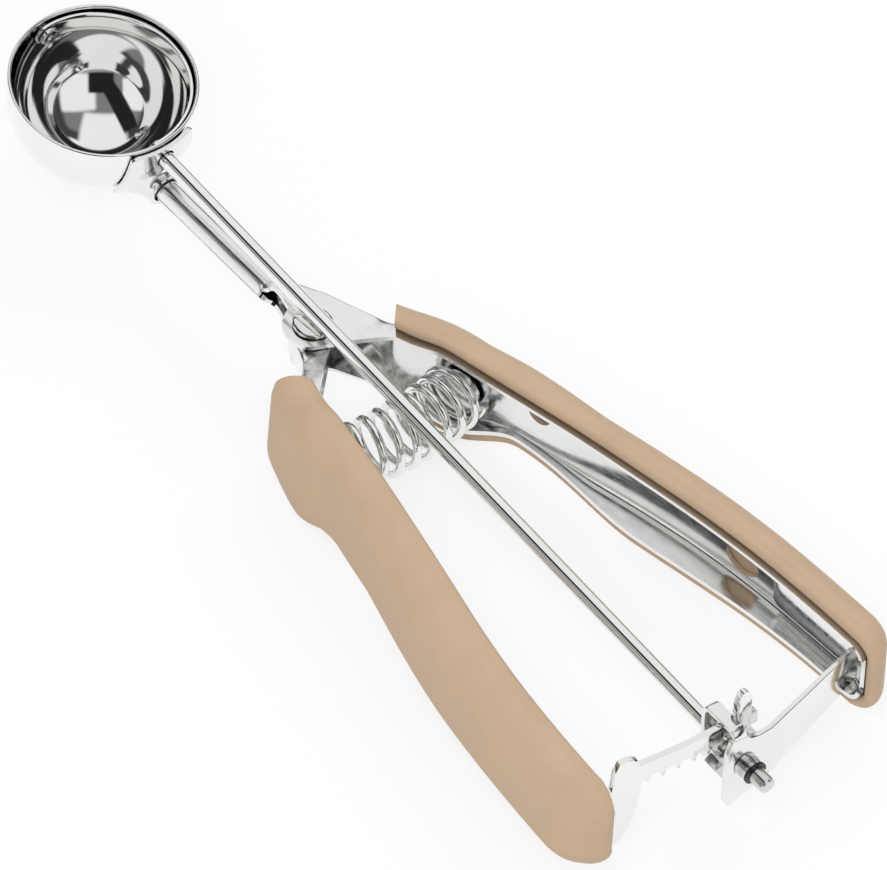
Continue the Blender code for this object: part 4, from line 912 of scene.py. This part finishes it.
def grip_shell(name, grip, spread, side):
    """A closed sleeve: outer skin, inner skin, and a rolled edge between them all round."""
    sections = []
    for pair in zip(*(grip_stations(*grip, inset, 0.0, GRIP_TURN, 3) for inset in (0.0, GRIP_WALL))):
        depths = [min(one["back"] - one["mouth"], one["back"] - one["low_mouth"]) for one in pair]
        sections.append([section(one, spread, side, FINE_ARC, min(GRIP_WALL / 2, 0.98 * depth))
                         for one, depth in zip(pair, depths)])
    toward_mouth = Vector((sin(spread), -side * cos(spread), 0))
    last = [rolled(a, b, Vector(a) - toward_mouth) for a, b in zip(*sections[-1])]
    rings = [a + rolled(a[-1], b[-1], a[-2]) + b[::-1] + rolled(b[0], a[0], b[1]) for a, b in sections[:-1]]
    a, b = sections[-1]
    rings.append(a + last[-1] + b[::-1] + last[0][::-1])
    work = bmesh.new()
    grid = weave(work, rings, True)
    wide, edge = len(a), len(EDGE_ROUND)
    inner = slice(wide + edge, 2 * wide + edge)
    # The open end is flat between the skins
    ring = grid[0]
    skins = list(zip(ring[:wide], ring[inner][::-1]))
    for (out_one, in_one), (out_two, in_two) in zip(skins, skins[1:]):
        work.faces.new((out_one, in_one, in_two, out_two))
    work.faces.new([*skins[-1], *ring[wide:wide + edge][::-1]])
    work.faces.new([*skins[0][::-1], *ring[2 * wide + edge:][::-1]])
    # The closed end is rolled from skin to skin like the edges
    ring = grid[-1]
    columns = [[out_one, *(work.verts.new(point) for point in column), in_one] for out_one, column, in_one
               in zip(ring[1:wide - 1], last[1:-1], ring[inner][::-1][1:-1])]
    columns.insert(0, [ring[0]] + ring[2 * wide + edge - 1:][::-1])
    columns.append(ring[wide - 1:wide + edge + 1])
    for one, two in zip(columns, columns[1:]):
        for index in range(edge + 1):
            work.faces.new((one[index], one[index + 1], two[index + 1], two[index]))
    bmesh.ops.recalc_face_normals(work, faces=work.faces)
    return close_up(written(work, bpy.data.meshes.new(name)))


def grip_finish(name, colour):
    """Matte moulded plastic: an even grain, soft mottling and slightly worn, smoother patches."""
    made, tree, shader = new_material(name)
    spot = add_node(tree, "ShaderNodeTexCoord").outputs["Object"]
    mottle = add_node(tree, "ShaderNodeTexNoise", {"Vector": spot, "Scale": 120, "Detail": 3})
    tone = two_tones(tree, mottle, 0.3, [c * 0.95 for c in colour],
                     0.72, [min(1, c * 1.03) for c in colour])
    grain = add_node(tree, "ShaderNodeTexVoronoi", {"Vector": spot, "Scale": 2600}).outputs["Distance"]
    fine = add_node(tree, "ShaderNodeTexNoise", {"Vector": spot, "Scale": 1800, "Detail": 3})
    wear = add_node(tree, "ShaderNodeMapRange", {0: mottle, "From Min": 0.3, "From Max": 0.7,
                                                 "To Min": 0.46, "To Max": 0.60})
    pits = add_node(tree, "ShaderNodeBump", {"Height": grain, "Distance": 0.00002, "Strength": 0.6})
    soft = add_node(tree, "ShaderNodeBump", {"Height": fine, "Normal": pits,
                                             "Distance": 0.00002, "Strength": 0.5})
    feed(tree, shader, {"Base Color": tone, "Roughness": wear, "Specular IOR Level": 0.35, "Normal": soft})
    return made


def make_grip(name, grip, spread, side, body, node):
    piece = place(name, grip_shell(name, grip, spread, side), AT_HANDLES)
    finish(piece, grip_finish(f"{name}_tan", GRIP_TAN), body, node, sharp=50)


make_grip("right_sleeve", FRAME_GRIP, FRAME_SPREAD, 1, "fixed_handle", "right_grip")


# The pivot
# One large domed rivet through four ears, with a plain sleeve that keeps the inner ears apart.
PIVOT_HEAD_RADIUS = 0.0039
PIVOT_HEAD_HEIGHT = 0.0011
PIVOT_TAIL_RADIUS = 0.0030
PIVOT_TAIL_HEIGHT = 0.0010
SLEEVE_RADIUS = 0.0031
TURNED_EDGE = 0.0002


def bush(inner, outer, start, stop, edge):
    """Profile of a short tube with its outer edges broken."""
    return [(inner, start), (outer - edge, start), (outer, start + edge), (outer, stop - edge),
            (outer - edge, stop), (inner, stop), (inner, start)]


def make_pivot():
    head = EAR_HALF_HEIGHT + CLEARANCE
    edge = TURNED_EDGE
    dome = PIVOT_HEAD_HEIGHT - edge
    tail = head + PIVOT_TAIL_HEIGHT
    profile = [(PIVOT_HEAD_RADIUS * s, head + edge + dome * c) for c, s in round_points(*range(0, 91, 6))]
    profile += [(PIVOT_HEAD_RADIUS, head), (PIVOT_RADIUS, head), (PIVOT_RADIUS, -head),
                (PIVOT_TAIL_RADIUS, -head), (PIVOT_TAIL_RADIUS, -tail + edge),
                (PIVOT_TAIL_RADIUS - edge, -tail), (0, -tail)]
    piece = lathed("pivot_rivet_dome", profile, 72, AT_HANDLES, "Z")
    finish(piece, steel_finish("pivot_dome", (0.84, 0.84, 0.83), 0.05), "fixed_handle", "pivot_rivet")
    half = EAR_HALF_HEIGHT - 2 * STEEL - 2 * CLEARANCE
    profile = bush(PIVOT_RADIUS + CLEARANCE, SLEEVE_RADIUS, -half, half, edge)
    piece = lathed("pivot_spacer", profile, 64, AT_HANDLES, "Z")
    turned_steel = steel_finish("pivot_spacer", (0.74, 0.74, 0.73), 0.16, (1, 1, 0.2))
    finish(piece, turned_steel, "fixed_handle", "pivot_sleeve")


make_pivot()


# The lever
# A second channel of 0.9 mm stainless, wrapped round the pivot's sleeve inside the fixed ears.
WRAP_RADIUS = EAR_RADIUS - 0.0013
# Round the pivot: degrees of the wrap, and the x and y of its edge
LEVER_WRAP = (
    (180, -0.0034, -0.0026), (150, -0.0015, -0.0041), (120, 0.0005, -0.0044), (90, 0.0022, -0.0038),
)
# Between the wrap and the grip: x and y of the back and of the edge
LEVER_RISE = (((0.0036, 0.0058), (0.0037, -0.0022)), ((0.0062, 0.0078), (0.0058, 0.0012)))


def make_lever_frame():
    gripped = [section(one, LEVER_SPREAD, -1) for one in channel_stations(LEVER_GRIP)]
    outline = [((WRAP_RADIUS * c, WRAP_RADIUS * s), edge)
               for (c, s), (_, *edge) in zip(round_points(*(row[0] for row in LEVER_WRAP)), LEVER_WRAP)]
    ear = EAR_HALF_HEIGHT - STEEL - CLEARANCE
    rows = [[(x, -y, z) for x, y, z in free_section(back, edge, ear)]
            for back, edge in (*outline, *LEVER_RISE)] + gripped
    piece = pressed_channel("lever_channel", skin("lever_channel", rows))
    finish(piece, steel_finish("lever_polish", *CHANNEL_POLISH), "lever", "lever_frame")


make_lever_frame()


# The left grip
# The same moulding for the lever, with a rounded nose and a deeper swelling over the spring.
make_grip("left_sleeve", LEVER_GRIP, LEVER_SPREAD, -1, "lever", "left_grip")


# The rack
# Stamped from 1.3 mm sheet on an arc about the pivot: teeth underneath, an upright ear at its free
# end that stops it, and an end plate bent into a foot that is welded in the lever's channel.
PINION_TEETH = 9
PITCH_RADIUS = 0.0048
ADDENDUM = 0.00070
TOOTH_CLEARANCE = 0.00020
TOOTH_SLIM = 0.00026
TOOTH_FLANK = 0.00042
RACK_SHEET = 0.0013
RACK_RADIUS = 0.12485
RACK_BODY = 0.0040
RACK_EDGE = 0.00015
RACK_TIP = 0.0016
RACK_TIP_DROP = 0.0010
EAR_STEP = 0.0002
RACK_FIRST_TOOTH = -6
RACK_LAST_TOOTH = 1
HUMP_HEIGHT = 0.0026
EAR_TAB_HEIGHT = 0.0066
EAR_TAB_WIDTH = 0.0036
END_PLATE_WIDTH = 0.0062
END_PLATE_DROP = 0.0104
# The end plate, past the last tooth: share of its width, lower edge, and upper edge above the rack's
END_PLATE = (
    (0.06, -0.0005, 0.0), (0.16, -0.0040, HUMP_HEIGHT * 0.6), (0.24, -0.0054, HUMP_HEIGHT - 0.0008),
    (0.32, -0.0066, HUMP_HEIGHT - 0.0003), (0.55, -END_PLATE_DROP + 0.0010, HUMP_HEIGHT),
    (0.75, -END_PLATE_DROP, HUMP_HEIGHT - 0.0004), (0.90, -END_PLATE_DROP + 0.0014, 0.0),
)
PLATE_ENDS = 0.96  # share of the width where the end plate passes into its foot
FOOT_LOW = -0.0040
FOOT_HIGH = 0.0051
FOOT_START = 0.10185
FOOT_BEND = 0.0020
FOOT_ROUND = 0.0022
FULL_ROUND = 0.6  # the power, under 1, that makes a half round fuller than a circle
FOLD_LEFT = -0.0038
FOLD_RIGHT = -0.0009
PLATE_POLISH = ((0.90, 0.90, 0.89), (1.0, 0.3, 1.0), 0.00001, 0.0000003)


def plate_finish(name, roughness):
    colour, *rest = PLATE_POLISH
    return steel_finish(name, colour, roughness, *rest)


def tooth_sizes():
    """The teeth's pitch, and half a tooth's width at its root and at its tip."""
    pitch = 2 * pi * PITCH_RADIUS / PINION_TEETH
    half_tooth = pitch / 4 - TOOTH_SLIM
    return pitch, half_tooth + TOOTH_FLANK, half_tooth - TOOTH_FLANK


def ribbon(stations):
    """An upright sheet through (x, y, lower edge, upper edge) stations."""
    mesh = skin("ribbon", [[(x, y, low), (x, y, high)] for x, y, low, high in stations])
    mesh.flip_normals()
    return mesh


def foot_stations(line, spread, side, sheet, corner_u):
    """A foot that lies on the back of the channel, from its rounded end to its bend."""
    inside = OUTSIDE_STEEL + STEEL + CLEARANCE + sheet / 2

    def seat(u):
        return grip_line(line, u, 1) - inside

    bend = corner_u - FOOT_BEND
    places = [(FOOT_START + FOOT_ROUND * (1 - c), s ** FULL_ROUND)
              for c, s in round_points(14, 30, 50, 70, 90)]
    places += [((FOOT_START + corner_u) / 2, 1.0), (bend, 1.0)]
    places = [(u, seat(u), share) for u, share in places]
    places += [(bend + FOOT_BEND * s, seat(bend) - FOOT_BEND * (1 - c), 1.0)
               for c, s in round_points(*range(15, 91, 15))]
    return [(*on_handle(spread, side, u, v, FOOT_LOW * share), FOOT_HIGH * share) for u, v, share in places]


def make_rack():
    pitch, root_half, tip_half = tooth_sizes()
    axis = rod_height(RACK_RADIUS)
    tip = axis + PITCH_RADIUS - ADDENDUM
    root = axis + PITCH_RADIUS + ADDENDUM + TOOTH_CLEARANCE
    top = root + RACK_BODY
    ear_left = FOLD_RIGHT + CLEARANCE + RACK_SHEET * 0.1
    ear_right = ear_left + EAR_TAB_WIDTH
    outline = [(ear_right + RACK_TIP, root, top - RACK_TIP_DROP), (ear_right + EAR_STEP, root, top)]
    teeth = []
    for index in range(RACK_LAST_TOOTH, RACK_FIRST_TOOTH - 1, -1):
        centre = index * pitch
        teeth += [(centre + root_half, root), (centre + tip_half, tip),
                  (centre - tip_half, tip), (centre - root_half, root)]
    ear = [(ear_left + EAR_TAB_WIDTH / 2 * (1 + c), top + EAR_TAB_HEIGHT * s ** FULL_ROUND)
           for c, s in round_points(*range(0, 181, 10))]

    def level(points, y, otherwise):
        for (y_a, z_a), (y_b, z_b) in zip(points, points[1:]):
            if y_b <= y <= y_a:
                return z_a + (z_b - z_a) * (y_a - y) / (y_a - y_b)
        return otherwise

    for y in sorted({round(y, 7) for y, _ in teeth + ear}, reverse=True):
        if y < ear_right + EAR_STEP:
            outline.append((y, level(teeth, y, root), level(ear, y, top)))
    plate = RACK_FIRST_TOOTH * pitch - root_half - pitch * 0.1
    outline += [(plate - END_PLATE_WIDTH * share, lower, top + rise) for share, lower, rise in END_PLATE]
    outline.append((plate - END_PLATE_WIDTH * PLATE_ENDS, FOOT_LOW, FOOT_HIGH))
    stations = [(sqrt(RACK_RADIUS ** 2 - y ** 2), y, lower, upper) for y, lower, upper in outline]
    foot_depth = GRIP_WALL + STEEL + 2 * CLEARANCE + RACK_SHEET / 2 + FOOT_BEND
    corner_v = grip_line(LEVER_LINE, RACK_RADIUS, 1) - foot_depth
    corner_u = sqrt(RACK_RADIUS ** 2 - corner_v ** 2)
    foot = foot_stations(LEVER_LINE, LEVER_SPREAD, -1, RACK_SHEET, corner_u)
    piece = place("rack_stamping", ribbon(stations + foot[::-1]), AT_HANDLES)
    sheet_metal(piece, RACK_SHEET, 0.0, RACK_EDGE)
    finish(piece, plate_finish("rack_polish", 0.14), "lever", "rack", sharp=30)


make_rack()


# The end bracket
# A strap of 1.2 mm stainless across the ends of the handles. Its wide end carries the pinion's hub,
# a narrow fold passes over the rack to a rear wall, and its foot is welded in the fixed channel.
BRACKET_SHEET = 0.0012
FOLD_SHEET = 0.0010
FRONT_WALL_X = 0.12885
REAR_WALL_X = 0.11985
STRAP_END = 0.1248
HUB_RADIUS = 0.0024
SNUG = 0.00004  # round the hub, between it and its rings
# The wall that carries the hub: y, and its lower and upper edge from the rod's axis
HUB_WALL = (
    (-0.0056, -0.0050, 0.0050), (-0.0053, -0.0068, 0.0068), (-0.0045, -0.0084, 0.0094),
    (-0.0036, -0.0082, 0.0096), (-0.0010, -0.0074, 0.0092), (0.0002, -0.0070, 0.0080),
    (0.0022, -0.0064, 0.0074), (0.0050, -0.0056, 0.0074),
)
# The rear wall that the fold leads to: height from the rod's axis, and its two sides
REAR_WALL = (
    (-0.0042, -0.0022, 0.0022), (-0.0034, -0.0034, 0.0032), (0.0, FOLD_LEFT, 0.0036),
    (0.0040, FOLD_LEFT, 0.0030),
)
FOLD_BEND = 0.0016
FOLD_MEETS_REAR = 0.0014
FOLD_MEETS_FRONT = 0.0060
BRACKET_EDGE = 0.00022
FOLD_EDGE = 0.0002
WALL_ON_ROD = (PIVOT_TO_BOWL + FRONT_WALL_X + BRACKET_SHEET / 2) / cos(ROD_TILT)
REAR_ON_ROD = PIVOT_TO_BOWL + REAR_WALL_X
DRILL_REACH = 0.003


def make_end_bracket():
    axis = rod_height(FRONT_WALL_X)
    stations = [(FRONT_WALL_X, y, axis + lower, axis + upper) for y, lower, upper in HUB_WALL]
    foot = foot_stations(FRAME_LINE, FRAME_SPREAD, 1, BRACKET_SHEET, STRAP_END)
    piece = place("end_bracket_strap", ribbon(stations + foot[::-1]), AT_HANDLES)
    sheet_metal(piece, BRACKET_SHEET, 0.0, BRACKET_EDGE)
    bake(piece)
    drill(piece, HUB_RADIUS + SNUG, WALL_ON_ROD - DRILL_REACH, WALL_ON_ROD + DRILL_REACH, AT_BOWL)
    bright = plate_finish("bracket_polish", 0.16)
    finish(piece, bright, "fixed_handle", "end_bracket", sharp=30)
    rack_top = rod_height(RACK_RADIUS) + PITCH_RADIUS + ADDENDUM + TOOTH_CLEARANCE + RACK_BODY
    over = rack_top + CLEARANCE + FOLD_SHEET / 2
    line = [(REAR_WALL_X, axis + height, left, right) for height, left, right in REAR_WALL]
    line.append((REAR_WALL_X, over - FOLD_BEND - FOLD_MEETS_REAR, FOLD_LEFT, FOLD_RIGHT))
    for middle_x, turn in ((REAR_WALL_X + FOLD_BEND, range(180, 89, -15)),
                           (FRONT_WALL_X - FOLD_BEND, range(90, -1, -15))):
        line += [(middle_x + FOLD_BEND * c, over - FOLD_BEND + FOLD_BEND * s, FOLD_LEFT, FOLD_RIGHT)
                 for c, s in round_points(*turn)]
    line.append((FRONT_WALL_X, axis + FOLD_MEETS_FRONT, FOLD_LEFT, FOLD_RIGHT))
    sides = [[(row[0], row[side], row[1]) for row in line] for side in (2, 3)]
    fold = place("bracket_fold", skin("bracket_fold", sides), AT_HANDLES)
    sheet_metal(fold, FOLD_SHEET, 0.0, FOLD_EDGE)
    bake(fold)
    drill(fold, ROD_RADIUS + CLEARANCE, REAR_ON_ROD - DRILL_REACH, REAR_ON_ROD + DRILL_REACH, AT_BOWL)
    finish(fold, bright, "fixed_handle", sharp=30)


make_end_bracket()


# The rod
# A straight 3.2 mm stainless rod, polished along its length, riveted to the scraper in the bowl and
# pressed in the pinion at the other end.


def make_rod():
    shoulder = scraper_radius() + CLEARANCE
    inner = scraper_radius() - SCRAPER_THICKNESS - CLEARANCE
    end = WALL_ON_ROD + BRACKET_SHEET / 2 - CLEARANCE
    profile = [(0, end), (ROD_RADIUS, end)]
    profile += [(ROD_RADIUS, shoulder + (end - shoulder) * share) for share in (0.75, 0.5, 0.25, 0)]
    profile += [(RIVET_RADIUS, shoulder), (RIVET_RADIUS, inner), (RIVET_HEAD_RADIUS, inner)]
    profile += [(RIVET_HEAD_RADIUS * c, inner - RIVET_HEAD_HEIGHT * s)
                for c, s in round_points(*range(15, 91, 15))]
    piece = lathed("rod_polished", profile, 64, AT_BOWL)
    polish = steel_finish("rod_polished", (0.93, 0.93, 0.92), 0.05, (0.04, 1.0, 1.0), 0.000006, 0.000001)
    finish(piece, polish, "rod", "rod")


make_rod()


# The pinion, its washer and its ring
# A nine-tooth pinion in one piece with its hub, which turns in the bracket. A thin washer and a
# blackened spring ring in a groove keep it in place.
PINION_WIDTH = 0.0034
HUB_TIP_RADIUS = 0.00175
HUB_TIP = 0.0032
RING_WIDTH = 0.0005
RING_RADIUS = 0.0025
WASHER_RADIUS = 0.0024
RING_GROOVE = 0.0004
HUB_BEFORE_RING = 0.0015
HUB_START = 0.0022  # past the bracket's rear wall
RING_EDGE = 0.00003
TOOTH_EDGE = 0.00012
HUB_TIP_EDGE = 0.0004
HUB_TIP_TAPER = 0.82


def make_pinion():
    _, root_half, tip_half = tooth_sizes()
    tip = PITCH_RADIUS + ADDENDUM
    root = PITCH_RADIUS - ADDENDUM - TOOTH_CLEARANCE
    centre = (PIVOT_TO_BOWL + RACK_RADIUS - PITCH_RADIUS * sin(ROD_TILT)) / cos(ROD_TILT)
    outline = []
    for index in range(PINION_TEETH):
        tooth = 2 * pi * (index + 0.5) / PINION_TEETH
        for radius, offset in ((root, -root_half), (tip, -tip_half), (tip, tip_half), (root, root_half)):
            angle = tooth + offset / PITCH_RADIUS
            outline.append((radius * sin(angle), radius * cos(angle)))
    low, high = centre - PINION_WIDTH / 2, centre + PINION_WIDTH / 2
    rows = [[(x, a * share, b * share) for a, b in outline]
            for x, share in ((low, 0), (low, 1), (high, 1), (high, 0))]
    piece = place("pinion_gear", close_up(skin("pinion_gear", rows, True)), AT_BOWL)
    soften(piece, TOOTH_EDGE)
    cut_steel = steel_finish("pinion_steel", (0.72, 0.72, 0.71), 0.16, (0.3, 1.0, 1.0))
    finish(piece, cut_steel, "rod", "pinion", sharp=30)
    face = WALL_ON_ROD + BRACKET_SHEET / 2
    groove = WALL_ON_ROD + HUB_BEFORE_RING
    past_ring = groove + RING_WIDTH
    rear = REAR_ON_ROD + HUB_START
    end = past_ring + 2 * CLEARANCE + HUB_TIP
    neck = HUB_TIP_RADIUS - RING_GROOVE
    profile = [(0, end), (HUB_TIP_RADIUS * HUB_TIP_TAPER, end), (HUB_TIP_RADIUS, end - HUB_TIP_EDGE),
               (HUB_TIP_RADIUS, past_ring + SNUG), (neck, past_ring + SNUG), (neck, groove - SNUG),
               (HUB_TIP_RADIUS, groove - SNUG), (HUB_TIP_RADIUS, face), (HUB_RADIUS, face),
               (HUB_RADIUS, rear), (0, rear)]
    finish(lathed("pinion_hub", profile, 56, AT_BOWL), cut_steel, "rod")
    for name, node, sizes, colour, roughness in (
            ("hub_washer", "thrust_washer", (HUB_TIP_RADIUS + SNUG, WASHER_RADIUS, face + SNUG,
                                             groove - SNUG), (0.80, 0.80, 0.79), 0.2),
            ("hub_ring", "retaining_ring", (neck + SNUG, RING_RADIUS, groove, past_ring),
             (0.06, 0.06, 0.06), 0.3)):
        piece = lathed(name, bush(*sizes, RING_EDGE), 56, AT_BOWL)
        finish(piece, steel_finish(name, colour, roughness), "rod", node)


make_pinion()


# The spring and its seats
# A coil of 1.7 mm wire between the handles, with a closed turn at each end. It bends a little, for
# its ends lie square on the slanted backs of the channels, each round a short steel boss.
SPRING_X = 0.0240
SPRING_DROP = 0.0026
SPRING_RADIUS = 0.0060
WIRE_RADIUS = 0.00085
SPRING_TURNS = 8
DEAD_PITCH = 0.0025
SEAT_RADIUS = 0.0044
SEAT_HEIGHT = 0.0022
SEAT_GAP = 0.0004
SEAT_EDGE = 0.0003
COIL_STEPS = 40.0  # points in a turn
HANDLE_SHARE = 0.35


def channel_back(grip, spread):
    """Points (x, distance from the rod's plane) along the inner face of a channel's back."""
    return [on_handle(spread, 1, one["u"] + one["slant"] * OUTSIDE_STEEL,
                      one["back"] - STEEL - SEAT_GAP, 0)[:2] for one in channel_stations(grip, 1)]


def height_at(points, x):
    for (x_a, y_a), (x_b, y_b) in zip(points, points[1:]):
        if x_a <= x <= x_b:
            return y_a + (y_b - y_a) * (x - x_a) / (x_b - x_a)
    return points[0][1]


def seat_plane(points, side):
    """Where the spring meets a channel's back: middle, direction along the back, and inward normal."""
    reach = SPRING_RADIUS + WIRE_RADIUS
    first, last = (Vector((x, side * height_at(points, x), -SPRING_DROP))
                   for x in (SPRING_X - reach, SPRING_X + reach))
    along = (last - first).normalized()
    inward = Vector((along.y, -along.x, 0)) * side
    return (first + last) / 2, along, inward


def make_seat(name, plane, body, node):
    middle_point, along, inward = plane
    edge = SEAT_EDGE
    profile = [(0, 0), (SEAT_RADIUS, 0), (SEAT_RADIUS, SEAT_HEIGHT - edge)]
    profile += [(SEAT_RADIUS - edge * (1 - c), SEAT_HEIGHT - edge + edge * s)
                for c, s in round_points(30, 60, 90)]
    profile.append((0, SEAT_HEIGHT))
    turned_to = Matrix((along, inward.cross(along), inward)).transposed().to_4x4()
    piece = lathed(name, profile, 56, AT_HANDLES @ Matrix.Translation(middle_point) @ turned_to, "Z")
    finish(piece, steel_finish(name, (0.74, 0.74, 0.73), 0.14), body, node)


frame_plane = seat_plane(channel_back(FRAME_GRIP, FRAME_SPREAD), 1)
lever_plane = seat_plane(channel_back(LEVER_GRIP, LEVER_SPREAD), -1)
make_seat("fixed_seat", frame_plane, "fixed_handle", "frame_spring_seat")
make_seat("lever_seat", lever_plane, "lever", "lever_spring_seat")


def spring_tree(material):
    """Nodes that wind a wire round a bent axis, with a closed turn at each end."""
    tree = bpy.data.node_groups.new("wound_spring", "GeometryNodeTree")
    face = tree.interface
    face.new_socket("Geometry", in_out="OUTPUT", socket_type="NodeSocketGeometry")
    names = {}
    for kind, inputs in (("Float", ("Turns", "Coil Radius", "Wire Radius", "Closed Pitch")),
                         ("Vector", ("Start", "Start Handle", "End Handle", "End"))):
        for name in inputs:
            names[name] = face.new_socket(name, in_out="INPUT", socket_type=f"NodeSocket{kind}").identifier
    given = add_node(tree, "NodeGroupInput").outputs
    turns, radius, pitch = (given[name] for name in ("Turns", "Coil Radius", "Closed Pitch"))

    def calc(operation, *inputs):
        return math_node(tree, operation, *inputs)

    length = vector_node(tree, "DISTANCE", {0: given["Start"], 1: given["End"]}).outputs["Value"]
    # How far each point has turned, and its share of the axis: closed turn, open turns, closed turn
    turned_by = calc("DIVIDE", add_node(tree, "GeometryNodeInputIndex"), COIL_STEPS)
    open_pitch = calc("DIVIDE", calc("SUBTRACT", length, calc("MULTIPLY", pitch, 2.0)), turns)
    past_first = calc("SUBTRACT", turned_by, 1.0)
    first = calc("MULTIPLY", calc("MINIMUM", turned_by, 1.0), pitch)
    body = calc("MULTIPLY", calc("MINIMUM", calc("MAXIMUM", past_first, 0.0), turns), open_pitch)
    last = calc("MULTIPLY", calc("MAXIMUM", calc("SUBTRACT", past_first, turns), 0.0), pitch)
    share = calc("DIVIDE", calc("ADD", calc("ADD", first, body), last), length)
    ends = {name: given[name] for name in ("Start", "Start Handle", "End Handle", "End")}
    axis = add_node(tree, "GeometryNodeCurvePrimitiveBezierSegment", {"Resolution": 96, **ends})
    on_axis = add_node(tree, "GeometryNodeSampleCurve", {0: axis, "Factor": share},
                       mode="FACTOR", use_all_curves=True).outputs
    angle = calc("MULTIPLY", turned_by, 2 * pi)
    sideways = vector_node(tree, "CROSS_PRODUCT", {0: on_axis["Tangent"], 1: (0, 0, 1)})
    out, up = (calc("MULTIPLY", calc(wave, angle), radius) for wave in ("COSINE", "SINE"))
    aside = vector_node(tree, "SCALE", {0: sideways, "Scale": out})
    round_axis = vector_node(tree, "ADD", {0: aside, 1: add_node(tree, "ShaderNodeCombineXYZ", {2: up})})
    spot = vector_node(tree, "ADD", {0: on_axis["Position"], 1: round_axis})
    count = calc("MULTIPLY_ADD", calc("ADD", turns, 2.0), COIL_STEPS, 1.0)
    line = add_node(tree, "GeometryNodeCurvePrimitiveLine")
    points = add_node(tree, "GeometryNodeResampleCurve", {0: line, "Count": count})
    coil = add_node(tree, "GeometryNodeSetPosition", {0: points, "Position": spot})
    round_wire = add_node(tree, "GeometryNodeCurvePrimitiveCircle", {"Resolution": 20,
                                                                    "Radius": given["Wire Radius"]})
    sweep = add_node(tree, "GeometryNodeCurveToMesh", {0: coil, 1: round_wire, "Fill Caps": True})
    real = add_node(tree, "GeometryNodeRealizeInstances", {0: sweep})
    coat = add_node(tree, "GeometryNodeSetMaterial", {0: real, "Material": material})
    add_node(tree, "NodeGroupOutput", {0: coat})
    return tree, names


def make_spring():
    metal = steel_finish("spring_wire", (0.90, 0.90, 0.89), 0.07, (1.0, 1.0, 1.0), 0.000004)
    holder = add_object("spring_coil", bpy.data.meshes.new("spring_coil"))
    step = holder.modifiers.new("wound", "NODES")
    step.node_group, names = spring_tree(metal)
    start, end = (plane[0] + plane[2] * WIRE_RADIUS for plane in (lever_plane, frame_plane))
    handle = (end - start).length * HANDLE_SHARE
    for name, value in (("Turns", SPRING_TURNS), ("Coil Radius", SPRING_RADIUS),
                        ("Wire Radius", WIRE_RADIUS), ("Closed Pitch", DEAD_PITCH)):
        step[names[name]] = float(value)
    for name, value in (("Start", start), ("Start Handle", start + lever_plane[2] * handle),
                        ("End Handle", end + frame_plane[2] * handle), ("End", end)):
        step[names[name]] = tuple(value)
    bake(holder)
    holder.data.transform(AT_HANDLES)
    finish(holder, metal, None, "spring")
    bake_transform(holder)


make_spring()
